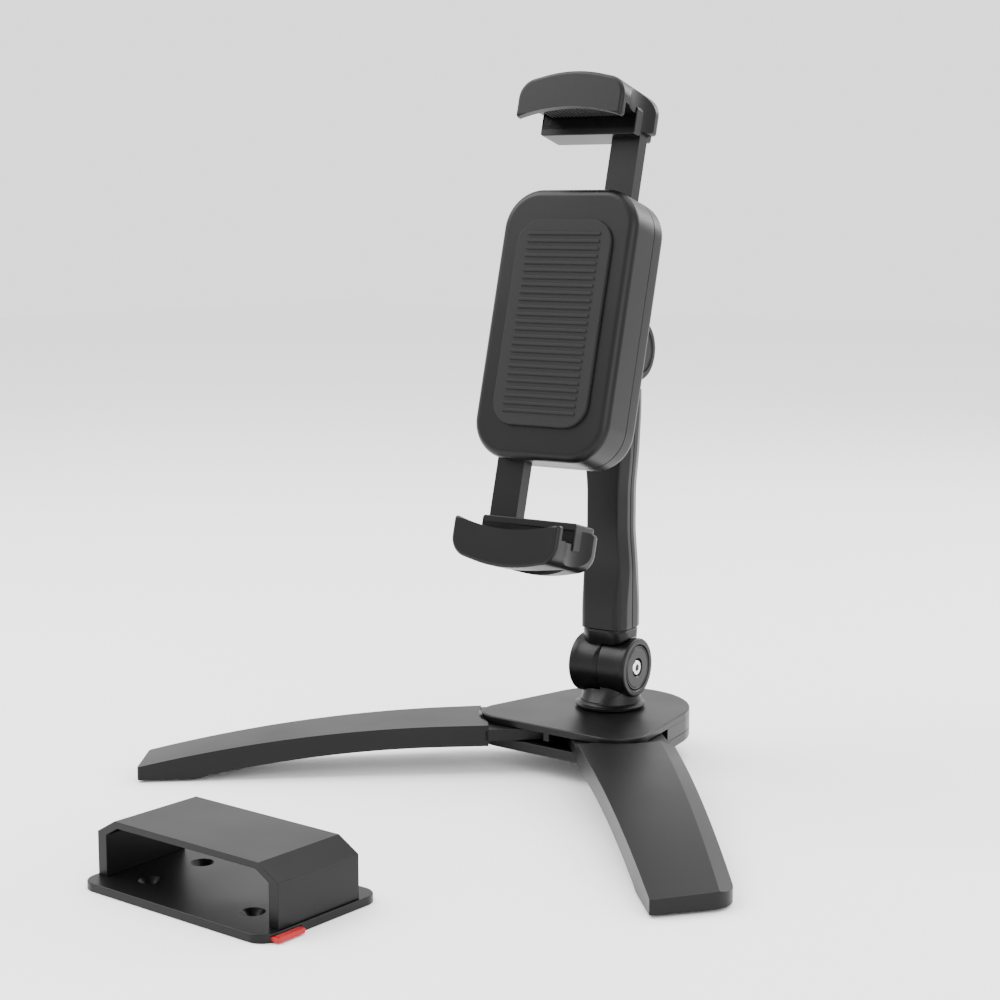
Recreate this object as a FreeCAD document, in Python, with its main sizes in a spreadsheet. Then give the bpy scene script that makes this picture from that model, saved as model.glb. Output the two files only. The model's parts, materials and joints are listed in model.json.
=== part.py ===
import FreeCAD, Part
import math
import os
import Sketcher

# Adjustable tablet holder: two folding legs, a hub with a swivel, an arm between two tilt hinges,
# a turning head with two claws on racks, and the wall bracket that takes the folded legs.
# Frame: origin on the floor under the swivel axis, +Z up, -Y towards the person who looks at the
# tablet, +X to that person's right. All lengths are millimetres, all angles degrees.

SIZES = {
    # Heights of the stand
    "floor_gap": 9.0,             # floor to the underside of the hub
    "base_plate": 2.5,            # floor of the hub base
    "seam_height": 4.5,           # hub base rim, underside to seam
    "hub_height": 13.0,           # underside of the hub to its top face
    "cover_plate": 3.0,           # top plate of the hub cover
    "hub_wall": 2.4,              # skirt of the cover and rim of the base
    "cover_round": 0.8,           # rounded top edge of the cover
    "base_round": 1.4,            # rounded lower edge of the base
    # Outline of the hub
    "hub_rear_radius": 32.8,
    "hub_rear_centre": 2.0,
    "hub_corner_x": 26.5,
    "hub_corner_y": 32.5,
    "hub_corner_radius": 13.5,
    "skirt_front": 9.0,           # the skirt ends this far in front of the swivel axis
    "post_width": 3.0,
    "post_drop": 3.5,
    "boss_radius": 3.6,
    "boss_bore": 1.3,
    "pivot_boss": 6.0,            # rounds the tongues turn on
    "pin_share": 0.6,             # part of a plate that a pivot pin enters
    "boss_rear_x": 16.0,
    "boss_rear_y": 22.0,
    "boss_side_x": 25.0,
    "boss_side_y": 8.0,
    "hub_screw_head": 2.8,
    "hub_screw_sink": 1.2,
    # Rear foot
    "foot_width": 24.0,
    "foot_front": 8.0,
    "foot_rear": 32.0,
    "foot_rubber": 3.0,
    # Legs, measured from their pivot
    "pivot_x": 20.0,
    "pivot_y": 27.0,
    "pivot_radius": 3.0,
    "spread_angle": 46.0,
    "leg_inner": 18.0,            # pivot to the straight inner face
    "tongue_outer": 20.5,         # pivot to the outer edge of the tongue
    "tongue_corner": 13.0,
    "tongue_play": 0.2,           # tongue to hub base and to hub cover
    "leg_rise": 1.5,              # leg top above the underside of the cover plate
    "leg_length": 165.0,
    "leg_outer": 22.0,            # outer edge just outside the hub
    "tip_outer": 12.5,            # outer edge at the tip
    "hub_clear": 2.0,             # gap between the raised leg top and the hub
    "top_bend_start": 35.0,
    "tip_drop": 14.06061,         # fall of the leg top from the bend to the tip
    "under_bend_start": 40.0,
    "under_drop": 9.75776,        # fall of the underside from its bend to the foot zone
    "foot_zone_length": 27.0,     # flat run at the tip that stands on the floor
    "foot_zone_height": 1.0,
    "bevel_wide": 6.0,
    "bevel_deep": 2.4,
    "tip_corner": 10.0,
    "tip_slant": 4.0,             # the outer side ends this much sooner
    "strip_recess": 2.0,          # underside cover strip thickness
    "strip_margin": 4.0,          # leg edge to the strip
    "strip_start": 30.0,
    "strip_short": 33.0,          # strip end to the tip
    "foot_pad_length": 15.0,
    "foot_pad_short": 8.0,        # foot pad to the tip
    "foot_pad_corner": 4.0,
    # Hinge barrels and knuckles
    "hinge_low": 40.0,            # floor to the lower tilt axis
    "arm_length": 134.0,          # lower tilt axis to upper tilt axis
    "barrel_radius": 12.5,
    "barrel_half": 13.5,
    "barrel_seam": 0.1,           # each half stops this far from the middle
    "seam_chamfer": 0.7,
    "neck_half_x": 11.6,
    "neck_half_y": 8.4,
    "neck_start": 6.0,
    "scoop_clear": 0.4,
    "flange_radius": 15.0,
    "flange_height": 1.6,
    "collar_radius": 13.0,
    "hinge_pin": 2.5,             # shank of the hinge screw
    "bolt_clear": 0.05,
    "cap_radius": 9.6,
    "cap_recess": 1.2,
    "cap_thick": 1.0,
    "cap_clear": 0.15,
    "screw_well": 3.7,
    "screw_well_depth": 1.2,
    "screw_head": 3.1,
    "screw_head_high": 2.0,
    "socket_across": 3.2,
    "socket_deep": 1.3,
    "nut_across": 8.0,
    "nut_thick": 4.0,
    "nut_play": 0.05,
    "washer_radius": 9.0,
    "washer_bore": 2.75,
    "washer_thick": 0.5,
    # Swivels
    "swivel_gap": 0.4,
    "swivel_bolt": 4.0,
    "swivel_head": 7.0,
    "swivel_head_high": 2.6,
    "swivel_washer": 9.5,
    "swivel_grip": 4.3,           # bolt inside the knuckle
    "swivel_washer_thick": 0.8,
    # Arm
    "neck_ring": 16.4,            # hinge axis to the cross seam of the arm
    "ring_half_x": 11.0,
    "ring_half_y": 9.8,
    "neck_half_x": 9.4,           # neck where the arm overhangs it
    "neck_half_y": 8.3,
    "ring_groove": 0.3,
    "arm_mid_half_x": 9.5,
    "arm_mid_half_y": 7.8,
    "arm_flare": 30.0,            # hinge axis to the end of the flare
    "arm_flare_half_x": 10.8,
    "arm_flare_half_y": 9.5,
    "arm_corner": 5.2,
    "arm_wall": 2.2,
    "arm_seam": 0.12,
    "bar_half_x": 4.5,
    "bar_half_y": 3.0,
    "bar_sink": 3.2,              # bar end inside each knuckle
    "bar_play": 0.05,
    # Head, measured from the upper tilt axis along the head normal
    "head_tilt": 15.5,
    "head_yaw": 5.0,              # the swivel stands turned by this over the hub at rest
    "boss_out_radius": 23.0,
    "boss_root_radius": 27.0,
    "head_back": 24.0,            # back of the housing
    "head_split": 33.0,           # seam between back and front cover
    "head_front": 49.0,
    "head_half_x": 31.0,
    "head_half_y": 55.0,
    "head_corner": 16.0,
    "head_wall": 2.5,
    "head_round": 3.5,
    "pad_plane": 51.0,            # back of the tablet
    "pad_half_x": 22.0,
    "pad_half_y": 42.0,
    "pad_corner": 10.0,
    "pad_sink": 1.0,
    # Rack and pinion
    "tooth_module": 1.0,
    "pinion_teeth": 16,
    "backlash": 0.24,
    "rack_low": 34.2,             # back face of the racks and of the pinion
    "rack_thick": 6.0,
    "rack_play": 0.25,            # slider to its rails and slots
    "rack_outer": 22.0,
    "rack_beyond": 5.25,          # rack end past the tablet edge
    "rack_addendum": 0.9,
    "rack_dedendum": 1.25,
    "rack_inner_end": 30.0,
    "rack_first": 10,
    "rack_teeth": 18,
    "axle_radius": 2.5,
    "axle_head": 0.8,
    "axle_head_radius": 4.0,
    "axle_boss": 5.0,
    "rail_inner": 12.0,
    "rail_wide": 3.0,
    "rail_half": 48.0,
    "head_post_x": 26.3,
    "head_post_y": 34.0,
    "head_post": 3.0,
    "head_screw_grip": 8.0,
    # Claws
    "tablet_half": 84.75,
    "tablet_thick": 7.4,
    "claw_pad": 1.5,
    "claw_half_x": 25.0,
    "claw_back": 29.0,
    "claw_beyond": 14.25,         # tablet edge to the outer face of the claw
    "claw_root_back": 6.75,        # tablet edge back to the root block
    "claw_root_half": 22.0,
    "claw_root_front": 45.0,
    "claw_shoulder_out": 10.45,
    "claw_shoulder_round": 8.0,
    "claw_crown_out": 15.85,
    "claw_crown_round": 60.0,
    "claw_edge": 0.8,
    "claw_heel": 4.0,
    "lip_thick": 3.2,
    "lip_reach": 4.2,
    "lip_dip": 3.8,
    "side_scoop_radius": 20.0,
    "side_scoop_depth": 3.6,
    "side_scoop_level": 45.0,
    "claw_pad_half": 17.0,
    "hollow_half_x": 16.0,
    "hollow_depth": 4.0,
    "hollow_start": 45.0,
    "hollow_end": 56.0,
    "lip_cut": 2.5,               # cut of the lip edge, in lip thicknesses
    # Wall bracket, measured from the near end of the sleeve
    "bracket_rest": 206.0,        # swivel axis to the near end of the sleeve
    "sleeve_length": 38.0,
    "sleeve_near_half": 41.4,     # inside half width where it takes the legs
    "sleeve_far_half": 39.4,
    "sleeve_top": 21.3,           # inside height over the floor
    "sleeve_wall": 2.4,
    "sleeve_flat_half": 33.5,
    "sleeve_shoulder": 17.9,
    "shoulder_share": 0.3,        # wall shares that keep the sleeve even at its bends
    "flat_share": 0.6,
    "plate_thick": 3.0,
    "plate_half": 45.0,
    "plate_near": 10.0,
    "plate_far": 8.0,
    "plate_corner": 7.0,
    "plate_edge": 0.5,
    "hole_radius": 2.25,
    "hole_span_x": 50.0,
    "hole_span_y": 24.0,
    "sink_radius": 4.2,
    "tab_length": 13.0,
    "tab_from_end": 4.0,
    "tab_depth": 9.0,
    "tab_proud": 2.6,
    "tab_thick": 1.8,
    "tab_travel": 1.6,
    "tab_play": 0.2,
}


class Size:
    """A length that carries its number and the expression over the sheet that gives it."""

    def __init__(self, number, text):
        self.number = float(number)
        self.text = text

    def combine(self, other, sign, result, swap=False):
        other = as_size(other)
        first, second = (other, self) if swap else (self, other)
        return Size(result(first.number, second.number), "(%s %s %s)" % (first.text, sign, second.text))

    def __add__(self, other):
        return self.combine(other, "+", lambda a, b: a + b)

    def __radd__(self, other):
        return self.combine(other, "+", lambda a, b: a + b, swap=True)

    def __sub__(self, other):
        return self.combine(other, "-", lambda a, b: a - b)

    def __rsub__(self, other):
        return self.combine(other, "-", lambda a, b: a - b, swap=True)

    def __mul__(self, other):
        return self.combine(other, "*", lambda a, b: a * b)

    def __rmul__(self, other):
        return self.combine(other, "*", lambda a, b: a * b, swap=True)

    def __truediv__(self, other):
        return self.combine(other, "/", lambda a, b: a / b)

    def __neg__(self):
        return Size(-self.number, "(-1 * %s)" % self.text)


def as_size(value):
    if isinstance(value, Size):
        return value
    return Size(value, "%.9g" % value if value >= 0 else "(%.9g)" % value)


def root_of(value):
    return Size(math.sqrt(value.number), "sqrt(%s)" % value.text)


def bend_radius(start, end, drop):
    """Radius of an arc that leaves a straight run at start and has fallen by drop at end."""
    reach = end - start
    return (reach * reach + drop * drop) / (drop * 2)


def sine(angle):
    return Size(math.sin(math.radians(angle.number)), "sin(%s * 1deg)" % angle.text)


def cosine(angle):
    return Size(math.cos(math.radians(angle.number)), "cos(%s * 1deg)" % angle.text)


doc = FreeCAD.newDocument("tablet_holder")
sheet = doc.addObject("Spreadsheet::Sheet", "sizes")
for row, (alias, number) in enumerate(SIZES.items(), start=1):
    sheet.set("A%d" % row, alias)
    sheet.set("B%d" % row, str(number))
    sheet.setAlias("B%d" % row, alias)
doc.recompute()


class Cells:
    """Attribute access to the sheet, so that s.arm_length is the size and its expression."""

    def __getattr__(self, alias):
        return Size(sheet.get(alias), "sizes.%s" % alias)


s = Cells()
pieces = []
places = []


def bind(thing, prop, value):
    thing.setExpression(prop, as_size(value).text)


def placement_text(base, axis, angle):
    """Expression for a placement: a point and a turn about an axis through it."""
    point, direction = ["; ".join(as_size(number).text for number in row) for row in (base, axis)]
    rotation = "create(<<rotation>>; create(<<vector>>; %s); %s)" % (direction, as_size(angle).text)
    return "create(<<placement>>; create(<<vector>>; %s); %s)" % (point, rotation)


def place(thing, base=(0, 0, 0), axis=(0, 0, 1), angle=0, swivels=False):
    """Note where a sub-part goes: a point, a turn about an axis, and the yaw of what swivels."""
    text = placement_text(base, axis, angle)
    if swivels:
        text = "%s * %s" % (placement_text((0, 0, 0), (0, 0, 1), s.head_yaw), text)
    places.append((thing, text))


def put_in_place():
    """Bind every placement to the sheet, once all shapes are drawn."""
    for thing, text in places:
        thing.setExpression("Placement", text)


def new_body(label):
    body = doc.addObject("PartDesign::Body", label)
    body.Label = label
    pieces.append(body)
    return body


def new_sketch(body, plane, offset=0):
    sketch = body.newObject("Sketcher::SketchObject", "sketch")
    support = [f for f in body.Origin.OriginFeatures if f.Role == plane][0]
    sketch.AttachmentSupport = [(support, "")]
    sketch.MapMode = "FlatFace"
    bind(sketch, "AttachmentOffset.Base.z", offset)
    return sketch


def vector(x, y):
    return FreeCAD.Vector(x, y, 0)


def hold_point(sketch, geometry, position, x, y):
    """Tie a point of the sketch to two sizes."""
    for kind, axis, value in (("DistanceX", -2, as_size(x)), ("DistanceY", -1, as_size(y))):
        if value.text == "0":
            sketch.addConstraint(Sketcher.Constraint("PointOnObject", geometry, position, axis))
            continue
        index = sketch.addConstraint(Sketcher.Constraint(kind, -1, 1, geometry, position, value.number))
        sketch.setExpression("Constraints[%d]" % index, value.text)


def hold_radius(sketch, geometry, radius):
    radius = as_size(radius)
    index = sketch.addConstraint(Sketcher.Constraint("Radius", geometry, radius.number))
    sketch.setExpression("Constraints[%d]" % index, radius.text)


def draw_circle(sketch, x, y, radius):
    x, y, radius = as_size(x), as_size(y), as_size(radius)
    circle = Part.Circle(vector(x.number, y.number), FreeCAD.Vector(0, 0, 1), radius.number)
    geometry = sketch.addGeometry(circle)
    hold_point(sketch, geometry, 3, x, y)
    hold_radius(sketch, geometry, radius)


def draw_outline(sketch, corners):
    """Closed outline through corners (x, y) or (x, y, radius of its rounding)."""
    corners = [tuple(as_size(c) for c in corner) for corner in corners]
    count = len(corners)
    points = [vector(c[0].number, c[1].number) for c in corners]
    if sum(points[i - 1].cross(points[i]).z for i in range(count)) < 0:
        corners.reverse()
        points.reverse()
    starts, ends, arcs = [], [], []
    for i, corner in enumerate(corners):
        if len(corner) < 3:
            starts.append(points[i])
            ends.append(points[i])
            arcs.append(None)
            continue
        back = (points[i - 1] - points[i]).normalize()
        ahead = (points[(i + 1) % count] - points[i]).normalize()
        half = 0.5 * back.getAngle(ahead)
        reach = corner[2].number / math.tan(half)
        middle = (back + ahead).normalize() * (corner[2].number / math.sin(half))
        near = points[i] + middle * (1 - math.sin(half))
        starts.append(points[i] + back * reach)
        ends.append(points[i] + ahead * reach)
        arcs.append(Part.Arc(starts[-1], near, ends[-1]))
    lines = [sketch.addGeometry(Part.LineSegment(ends[i], starts[(i + 1) % count])) for i in range(count)]
    for i, corner in enumerate(corners):
        before, after = lines[i - 1], lines[i]
        if arcs[i] is None:
            sketch.addConstraint(Sketcher.Constraint("Coincident", before, 2, after, 1))
            hold_point(sketch, after, 1, corner[0], corner[1])
            continue
        arc = sketch.addGeometry(arcs[i])
        first = 1 if arcs[i].StartPoint.distanceToPoint(starts[i]) < 1e-6 else 2
        sketch.addConstraint(Sketcher.Constraint("Tangent", before, 2, arc, first))
        sketch.addConstraint(Sketcher.Constraint("Tangent", after, 1, arc, 3 - first))
        hold_radius(sketch, arc, corner[2])
        point = sketch.addGeometry(Part.Point(points[i]), True)
        sketch.addConstraint(Sketcher.Constraint("PointOnObject", point, 1, before))
        sketch.addConstraint(Sketcher.Constraint("PointOnObject", point, 1, after))
        hold_point(sketch, point, 1, corner[0], corner[1])


def draw_box(sketch, x0, x1, y0, y1, radius=None):
    corners = [(x0, y0), (x1, y0), (x1, y1), (x0, y1)]
    if radius is not None:
        corners = [corner + (radius,) for corner in corners]
    draw_outline(sketch, corners)


def add_feature(body, kind, sketch, length=None, backwards=False, through=False):
    feature = body.newObject("PartDesign::" + kind, kind.lower())
    feature.Profile = sketch
    if through:
        feature.Type = 1
    else:
        bind(feature, "Length", length)
    feature.Reversed = backwards
    sketch.Visibility = False
    return feature


def pad(body, sketch, length, backwards=False):
    return add_feature(body, "Pad", sketch, length, backwards)


def pocket(body, sketch, length=None, backwards=False, through=False):
    """Cut along the sketch; the volume has to drop, or the direction is wrong."""
    doc.recompute()
    before = body.Shape.Volume
    feature = add_feature(body, "Pocket", sketch, length, backwards, through)
    doc.recompute()
    if body.Shape.Volume > before - 1e-3:
        raise RuntimeError("a pocket of %s cuts nothing" % body.Label)
    return feature


def loft(body, sketches, cut=False):
    feature = body.newObject("PartDesign::SubtractiveLoft" if cut else "PartDesign::AdditiveLoft", "loft")
    feature.Profile = sketches[0]
    feature.Sections = sketches[1:]
    return feature


def edges_where(body, test):
    doc.recompute()
    names = ["Edge%d" % i for i, edge in enumerate(body.Shape.Edges, start=1) if test(edge.BoundBox)]
    if not names:
        raise RuntimeError("no edge found on %s" % body.Label)
    return names


def dress(body, kind, prop, value, names, other=None):
    base = body.Tip
    feature = body.newObject("PartDesign::" + kind, kind.lower())
    feature.Base = (base, names)
    bind(feature, prop, value)
    if other is not None:
        feature.ChamferType = 1
        bind(feature, "Size2", other)
    return feature


def fillet(body, radius, test):
    names = edges_where(body, test)
    return dress(body, "Fillet", "Radius", radius, names)


def chamfer(body, width, test, other=None):
    names = edges_where(body, test)
    return dress(body, "Chamfer", "Size", width, names, other)


def flat_at(level, tolerance=0.01):
    """Test for edges that lie in the plane z = level."""
    height = as_size(level).number
    return lambda box: abs(box.ZMin - height) < tolerance and abs(box.ZMax - height) < tolerance


# Heights that several pieces share
base_top = s.floor_gap + s.base_plate
seam_level = s.floor_gap + s.seam_height
hub_top = s.floor_gap + s.hub_height
cover_under = hub_top - s.cover_plate
leg_under = base_top + s.tongue_play
tongue_low = seam_level + s.tongue_play
tongue_top = cover_under - s.tongue_play
leg_top = cover_under + s.leg_rise
hinge_high = s.hinge_low + s.arm_length
neck_drop = s.hinge_low - hub_top - s.swivel_gap
pinion_radius = s.tooth_module * s.pinion_teeth / 2
rack_root = pinion_radius + s.rack_dedendum
rack_high = s.rack_low + s.rack_thick
tablet_front = s.pad_plane + s.tablet_thick
lip_front = tablet_front + s.lip_thick
claw_out = s.tablet_half + s.claw_beyond
claw_root = s.tablet_half - s.claw_root_back
claw_shoulder = s.tablet_half + s.claw_shoulder_out
claw_crown = s.tablet_half + s.claw_crown_out
rack_end = s.tablet_half + s.rack_beyond
foot_zone_start = s.leg_length - s.foot_zone_length
strip_end = s.leg_length - s.strip_short
top_bend_radius = bend_radius(s.top_bend_start, s.leg_length, s.tip_drop)
under_bend_radius = bend_radius(s.under_bend_start, foot_zone_start, s.under_drop)
foot_pad_end = s.leg_length - s.foot_pad_short
foot_pad_start = foot_pad_end - s.foot_pad_length
LEG_SPANS = 5
FLANK_POINTS = 5
PRESSURE_ANGLE = 20.0


def draw_hub_outline(sketch, inset):
    """Rear arc, two flared sides, two round front corners and a straight front edge."""
    rear, corner = s.hub_rear_radius - inset, s.hub_corner_radius - inset
    rear_middle = vector(0, s.hub_rear_centre.number)
    arcs = []
    points = {}
    for side in (1, -1):
        middle = vector(side * s.hub_corner_x.number, -s.hub_corner_y.number)
        along = rear_middle - middle
        turn = math.acos((corner.number - rear.number) / along.Length)
        normal = FreeCAD.Rotation(FreeCAD.Vector(0, 0, 1), -side * math.degrees(turn))
        normal = normal.multVec(along).normalize()
        points[side] = (rear_middle + normal * rear.number, middle + normal * corner.number)
        run = [points[side][1], middle + vector(0, -corner.number)][::-side]
        bisector = (normal + vector(0, -1)).normalize()
        arcs.append(Part.Arc(run[0], middle + bisector * corner.number, run[1]))
    rear_arc = Part.Arc(points[1][0], rear_middle + vector(0, rear.number), points[-1][0])
    curves = [rear_arc] + arcs
    ids = [sketch.addGeometry(curve) for curve in curves]
    ends = {}
    for curve, geometry in zip(curves, ids):
        for position, point in ((1, curve.StartPoint), (2, curve.EndPoint)):
            ends[(geometry, position)] = point

    def join(a, b):
        """Line between two arc ends, tangent to both arcs."""
        line = sketch.addGeometry(Part.LineSegment(ends[a], ends[b]))
        sketch.addConstraint(Sketcher.Constraint("Tangent", line, 1, a[0], a[1]))
        sketch.addConstraint(Sketcher.Constraint("Tangent", line, 2, b[0], b[1]))

    def end_near(geometry, point):
        return min(((geometry, p) for p in (1, 2)), key=lambda key: ends[key].distanceToPoint(point))

    for index, side in ((1, 1), (2, -1)):
        join(end_near(ids[0], points[side][0]), end_near(ids[index], points[side][1]))
    low = -s.hub_corner_y.number - corner.number
    front = [vector(side * s.hub_corner_x.number, low) for side in (1, -1)]
    join(end_near(ids[1], front[0]), end_near(ids[2], front[1]))
    hold_point(sketch, ids[0], 3, 0, s.hub_rear_centre)
    hold_radius(sketch, ids[0], rear)
    for index, side in ((1, 1), (2, -1)):
        hold_point(sketch, ids[index], 3, side * s.hub_corner_x, -s.hub_corner_y)
        hold_radius(sketch, ids[index], corner)


def boss_points():
    return [(side * x, y) for side in (1, -1)
            for x, y in ((s.boss_rear_x, s.boss_rear_y), (s.boss_side_x, s.boss_side_y))]


def front_box(sketch):
    """Everything in front of the line where the skirt ends."""
    wide = s.hub_rear_radius * 2
    draw_box(sketch, -wide, wide, -wide, -s.skirt_front)


def hub_cover():
    body = new_body("hub_cover")
    sketch = new_sketch(body, "XY_Plane", seam_level)
    draw_hub_outline(sketch, as_size(0))
    pad(body, sketch, hub_top - seam_level)
    fillet(body, s.cover_round, flat_at(hub_top))
    depth = cover_under - seam_level
    sketch = new_sketch(body, "XY_Plane", seam_level)
    draw_hub_outline(sketch, s.hub_wall)
    pocket(body, sketch, depth, backwards=True)
    sketch = new_sketch(body, "XY_Plane", seam_level)
    front_box(sketch)
    pocket(body, sketch, depth, backwards=True)
    sketch = new_sketch(body, "XY_Plane", cover_under - s.post_drop)
    front = -s.hub_corner_y - s.hub_corner_radius + s.cover_round
    draw_box(sketch, -s.post_width / 2, s.post_width / 2, front, front + s.post_width)
    pad(body, sketch, s.post_drop + s.cover_round / 2)
    sketch = new_sketch(body, "XY_Plane", base_top)
    for x, y in boss_points():
        draw_circle(sketch, x, y, s.boss_radius)
    pad(body, sketch, cover_under - base_top + s.cover_plate / 2)
    sketch = new_sketch(body, "XY_Plane", base_top)
    for x, y in boss_points():
        draw_circle(sketch, x, y, s.boss_bore)
    pocket(body, sketch, cover_under - base_top, backwards=True)
    sketch = new_sketch(body, "XY_Plane", hub_top)
    draw_circle(sketch, 0, 0, s.swivel_bolt + s.bolt_clear)
    pocket(body, sketch, s.cover_plate * 2)
    sketch = new_sketch(body, "XY_Plane", cover_under)
    for side in (1, -1):
        draw_circle(sketch, side * s.pivot_x, -s.pivot_y, s.pivot_radius + s.bolt_clear)
    pocket(body, sketch, s.cover_plate * s.pin_share, backwards=True)


def hub_base():
    body = new_body("hub_base")
    sketch = new_sketch(body, "XY_Plane", s.floor_gap)
    draw_hub_outline(sketch, as_size(0))
    pad(body, sketch, s.seam_height)
    fillet(body, s.base_round, flat_at(s.floor_gap))
    depth = s.seam_height - s.base_plate
    sketch = new_sketch(body, "XY_Plane", seam_level)
    draw_hub_outline(sketch, s.hub_wall)
    pocket(body, sketch, depth)
    sketch = new_sketch(body, "XY_Plane", base_top - s.base_plate / 2)
    for side in (1, -1):
        draw_circle(sketch, side * s.pivot_x, -s.pivot_y, s.pivot_boss)
    pad(body, sketch, depth + s.base_plate / 2)
    sketch = new_sketch(body, "XY_Plane", s.floor_gap + s.base_plate / 2)
    draw_box(sketch, -s.foot_width / 2, s.foot_width / 2, -s.foot_front, s.foot_rear, s.foot_width / 3)
    pad(body, sketch, s.floor_gap + s.base_plate / 2 - s.foot_rubber + s.pad_sink, backwards=True)
    sketch = new_sketch(body, "XY_Plane", s.foot_rubber - s.pad_sink)
    draw_foot(sketch, as_size(0))
    pocket(body, sketch, s.pad_sink, backwards=True)
    sketch = new_sketch(body, "XY_Plane", seam_level)
    for side in (1, -1):
        draw_circle(sketch, side * s.pivot_x, -s.pivot_y, s.pivot_radius + s.bolt_clear)
    pocket(body, sketch, depth + s.base_plate * s.pin_share)
    for radius, depth in ((s.boss_bore + s.bolt_clear, s.seam_height),
                          (s.hub_screw_head + s.cap_clear, s.hub_screw_sink)):
        sketch = new_sketch(body, "XY_Plane", s.floor_gap)
        for x, y in boss_points():
            draw_circle(sketch, x, y, radius)
        pocket(body, sketch, depth, backwards=True)


def draw_foot(sketch, play):
    inset = s.hub_wall / 2 + play
    draw_box(sketch, -s.foot_width / 2 + inset, s.foot_width / 2 - inset,
             -s.foot_front + inset, s.foot_rear - inset, s.foot_width / 3 - inset)


def rear_foot():
    body = new_body("rear_foot")
    sketch = new_sketch(body, "XY_Plane")
    draw_foot(sketch, s.cap_clear)
    pad(body, sketch, s.foot_rubber)
    chamfer(body, s.seam_chamfer, flat_at(0))


def bolt(label, head_radius, head_high, radius, length, base, axis=(0, 0, 1), angle=0):
    """Socket bolt: head down at the origin, shank up. Length is counted from the head's seat."""
    body = new_body(label)
    sketch = new_sketch(body, "XY_Plane")
    draw_circle(sketch, 0, 0, head_radius)
    pad(body, sketch, head_high)
    sketch = new_sketch(body, "XY_Plane", head_high)
    draw_circle(sketch, 0, 0, radius)
    pad(body, sketch, length)
    sketch = new_sketch(body, "XY_Plane")
    draw_hexagon(sketch, s.socket_across)
    pocket(body, sketch, s.socket_deep, backwards=True)
    place(body, base, axis, angle, swivels=True)


def draw_hexagon(sketch, across):
    half = across / 2
    point = across / root_of(as_size(3))
    upper = [(point, 0), (point / 2, half), (-point / 2, half)]
    draw_outline(sketch, upper + [(-x, -y) for x, y in upper])


def cylinder(name, radius, height, base, axis=(0, 0, 1), angle=0, swivels=False):
    solid = doc.addObject("Part::Cylinder", name)
    bind(solid, "Radius", radius)
    bind(solid, "Height", height)
    place(solid, base, axis, angle, swivels)
    return solid


def group(label, solids):
    """Identical fasteners kept as separate solids under one name."""
    joined = doc.addObject("Part::Compound", label)
    joined.Label = label
    joined.Links = solids
    pieces.append(joined)
    return joined


def leg_pivot_pins():
    low = base_top - s.base_plate * s.pin_share
    high = cover_under + s.cover_plate * s.pin_share
    pins = [cylinder("pivot_pin", s.pivot_radius, high - low, (side * s.pivot_x, -s.pivot_y, low))
            for side in (1, -1)]
    group("leg_pivot_pins", pins)


def hub_screws():
    solids = []
    for x, y in boss_points():
        head = cylinder("screw_head", s.hub_screw_head, s.hub_screw_sink, (x, y, s.floor_gap))
        shank = cylinder("screw_shank", s.boss_bore, s.seam_height, (x, y, s.floor_gap + s.hub_screw_sink))
        screw = doc.addObject("Part::Fuse", "hub_screw")
        screw.Base = head
        screw.Tool = shank
        solids.append(screw)
    group("hub_screws", solids)


def draw_arch(sketch, start, bend, end, level, radius, cap):
    """Region between a straight run that bends down along an arc and the height cap."""
    start, bend, end, level, radius, cap = [as_size(v) for v in (start, bend, end, level, radius, cap)]
    reach = end.number - bend.number
    drop = radius.number - math.sqrt(radius.number ** 2 - reach ** 2)
    near, far = start.number, end.number
    corner = vector(far, level.number - drop)
    run = sketch.addGeometry(Part.LineSegment(vector(near, level.number), vector(bend.number, level.number)))
    middle = vector(bend.number, level.number - radius.number)
    circle = Part.Circle(middle, FreeCAD.Vector(0, 0, 1), radius.number)
    arc = sketch.addGeometry(Part.ArcOfCircle(circle, math.acos(reach / radius.number), math.pi / 2))
    down = sketch.addGeometry(Part.LineSegment(corner, vector(far, cap.number)))
    back = sketch.addGeometry(Part.LineSegment(vector(far, cap.number), vector(near, cap.number)))
    up = sketch.addGeometry(Part.LineSegment(vector(near, cap.number), vector(near, level.number)))
    sketch.addConstraint([
        Sketcher.Constraint("Tangent", run, 2, arc, 2),
        Sketcher.Constraint("Coincident", arc, 1, down, 1),
        Sketcher.Constraint("Coincident", down, 2, back, 1),
        Sketcher.Constraint("Coincident", back, 2, up, 1),
        Sketcher.Constraint("Coincident", up, 2, run, 1),
        Sketcher.Constraint("Vertical", down)])
    hold_point(sketch, run, 1, start, level)
    hold_point(sketch, back, 1, end, cap)
    hold_point(sketch, back, 2, start, cap)
    hold_point(sketch, arc, 3, bend, level - radius)
    hold_radius(sketch, arc, radius)


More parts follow.
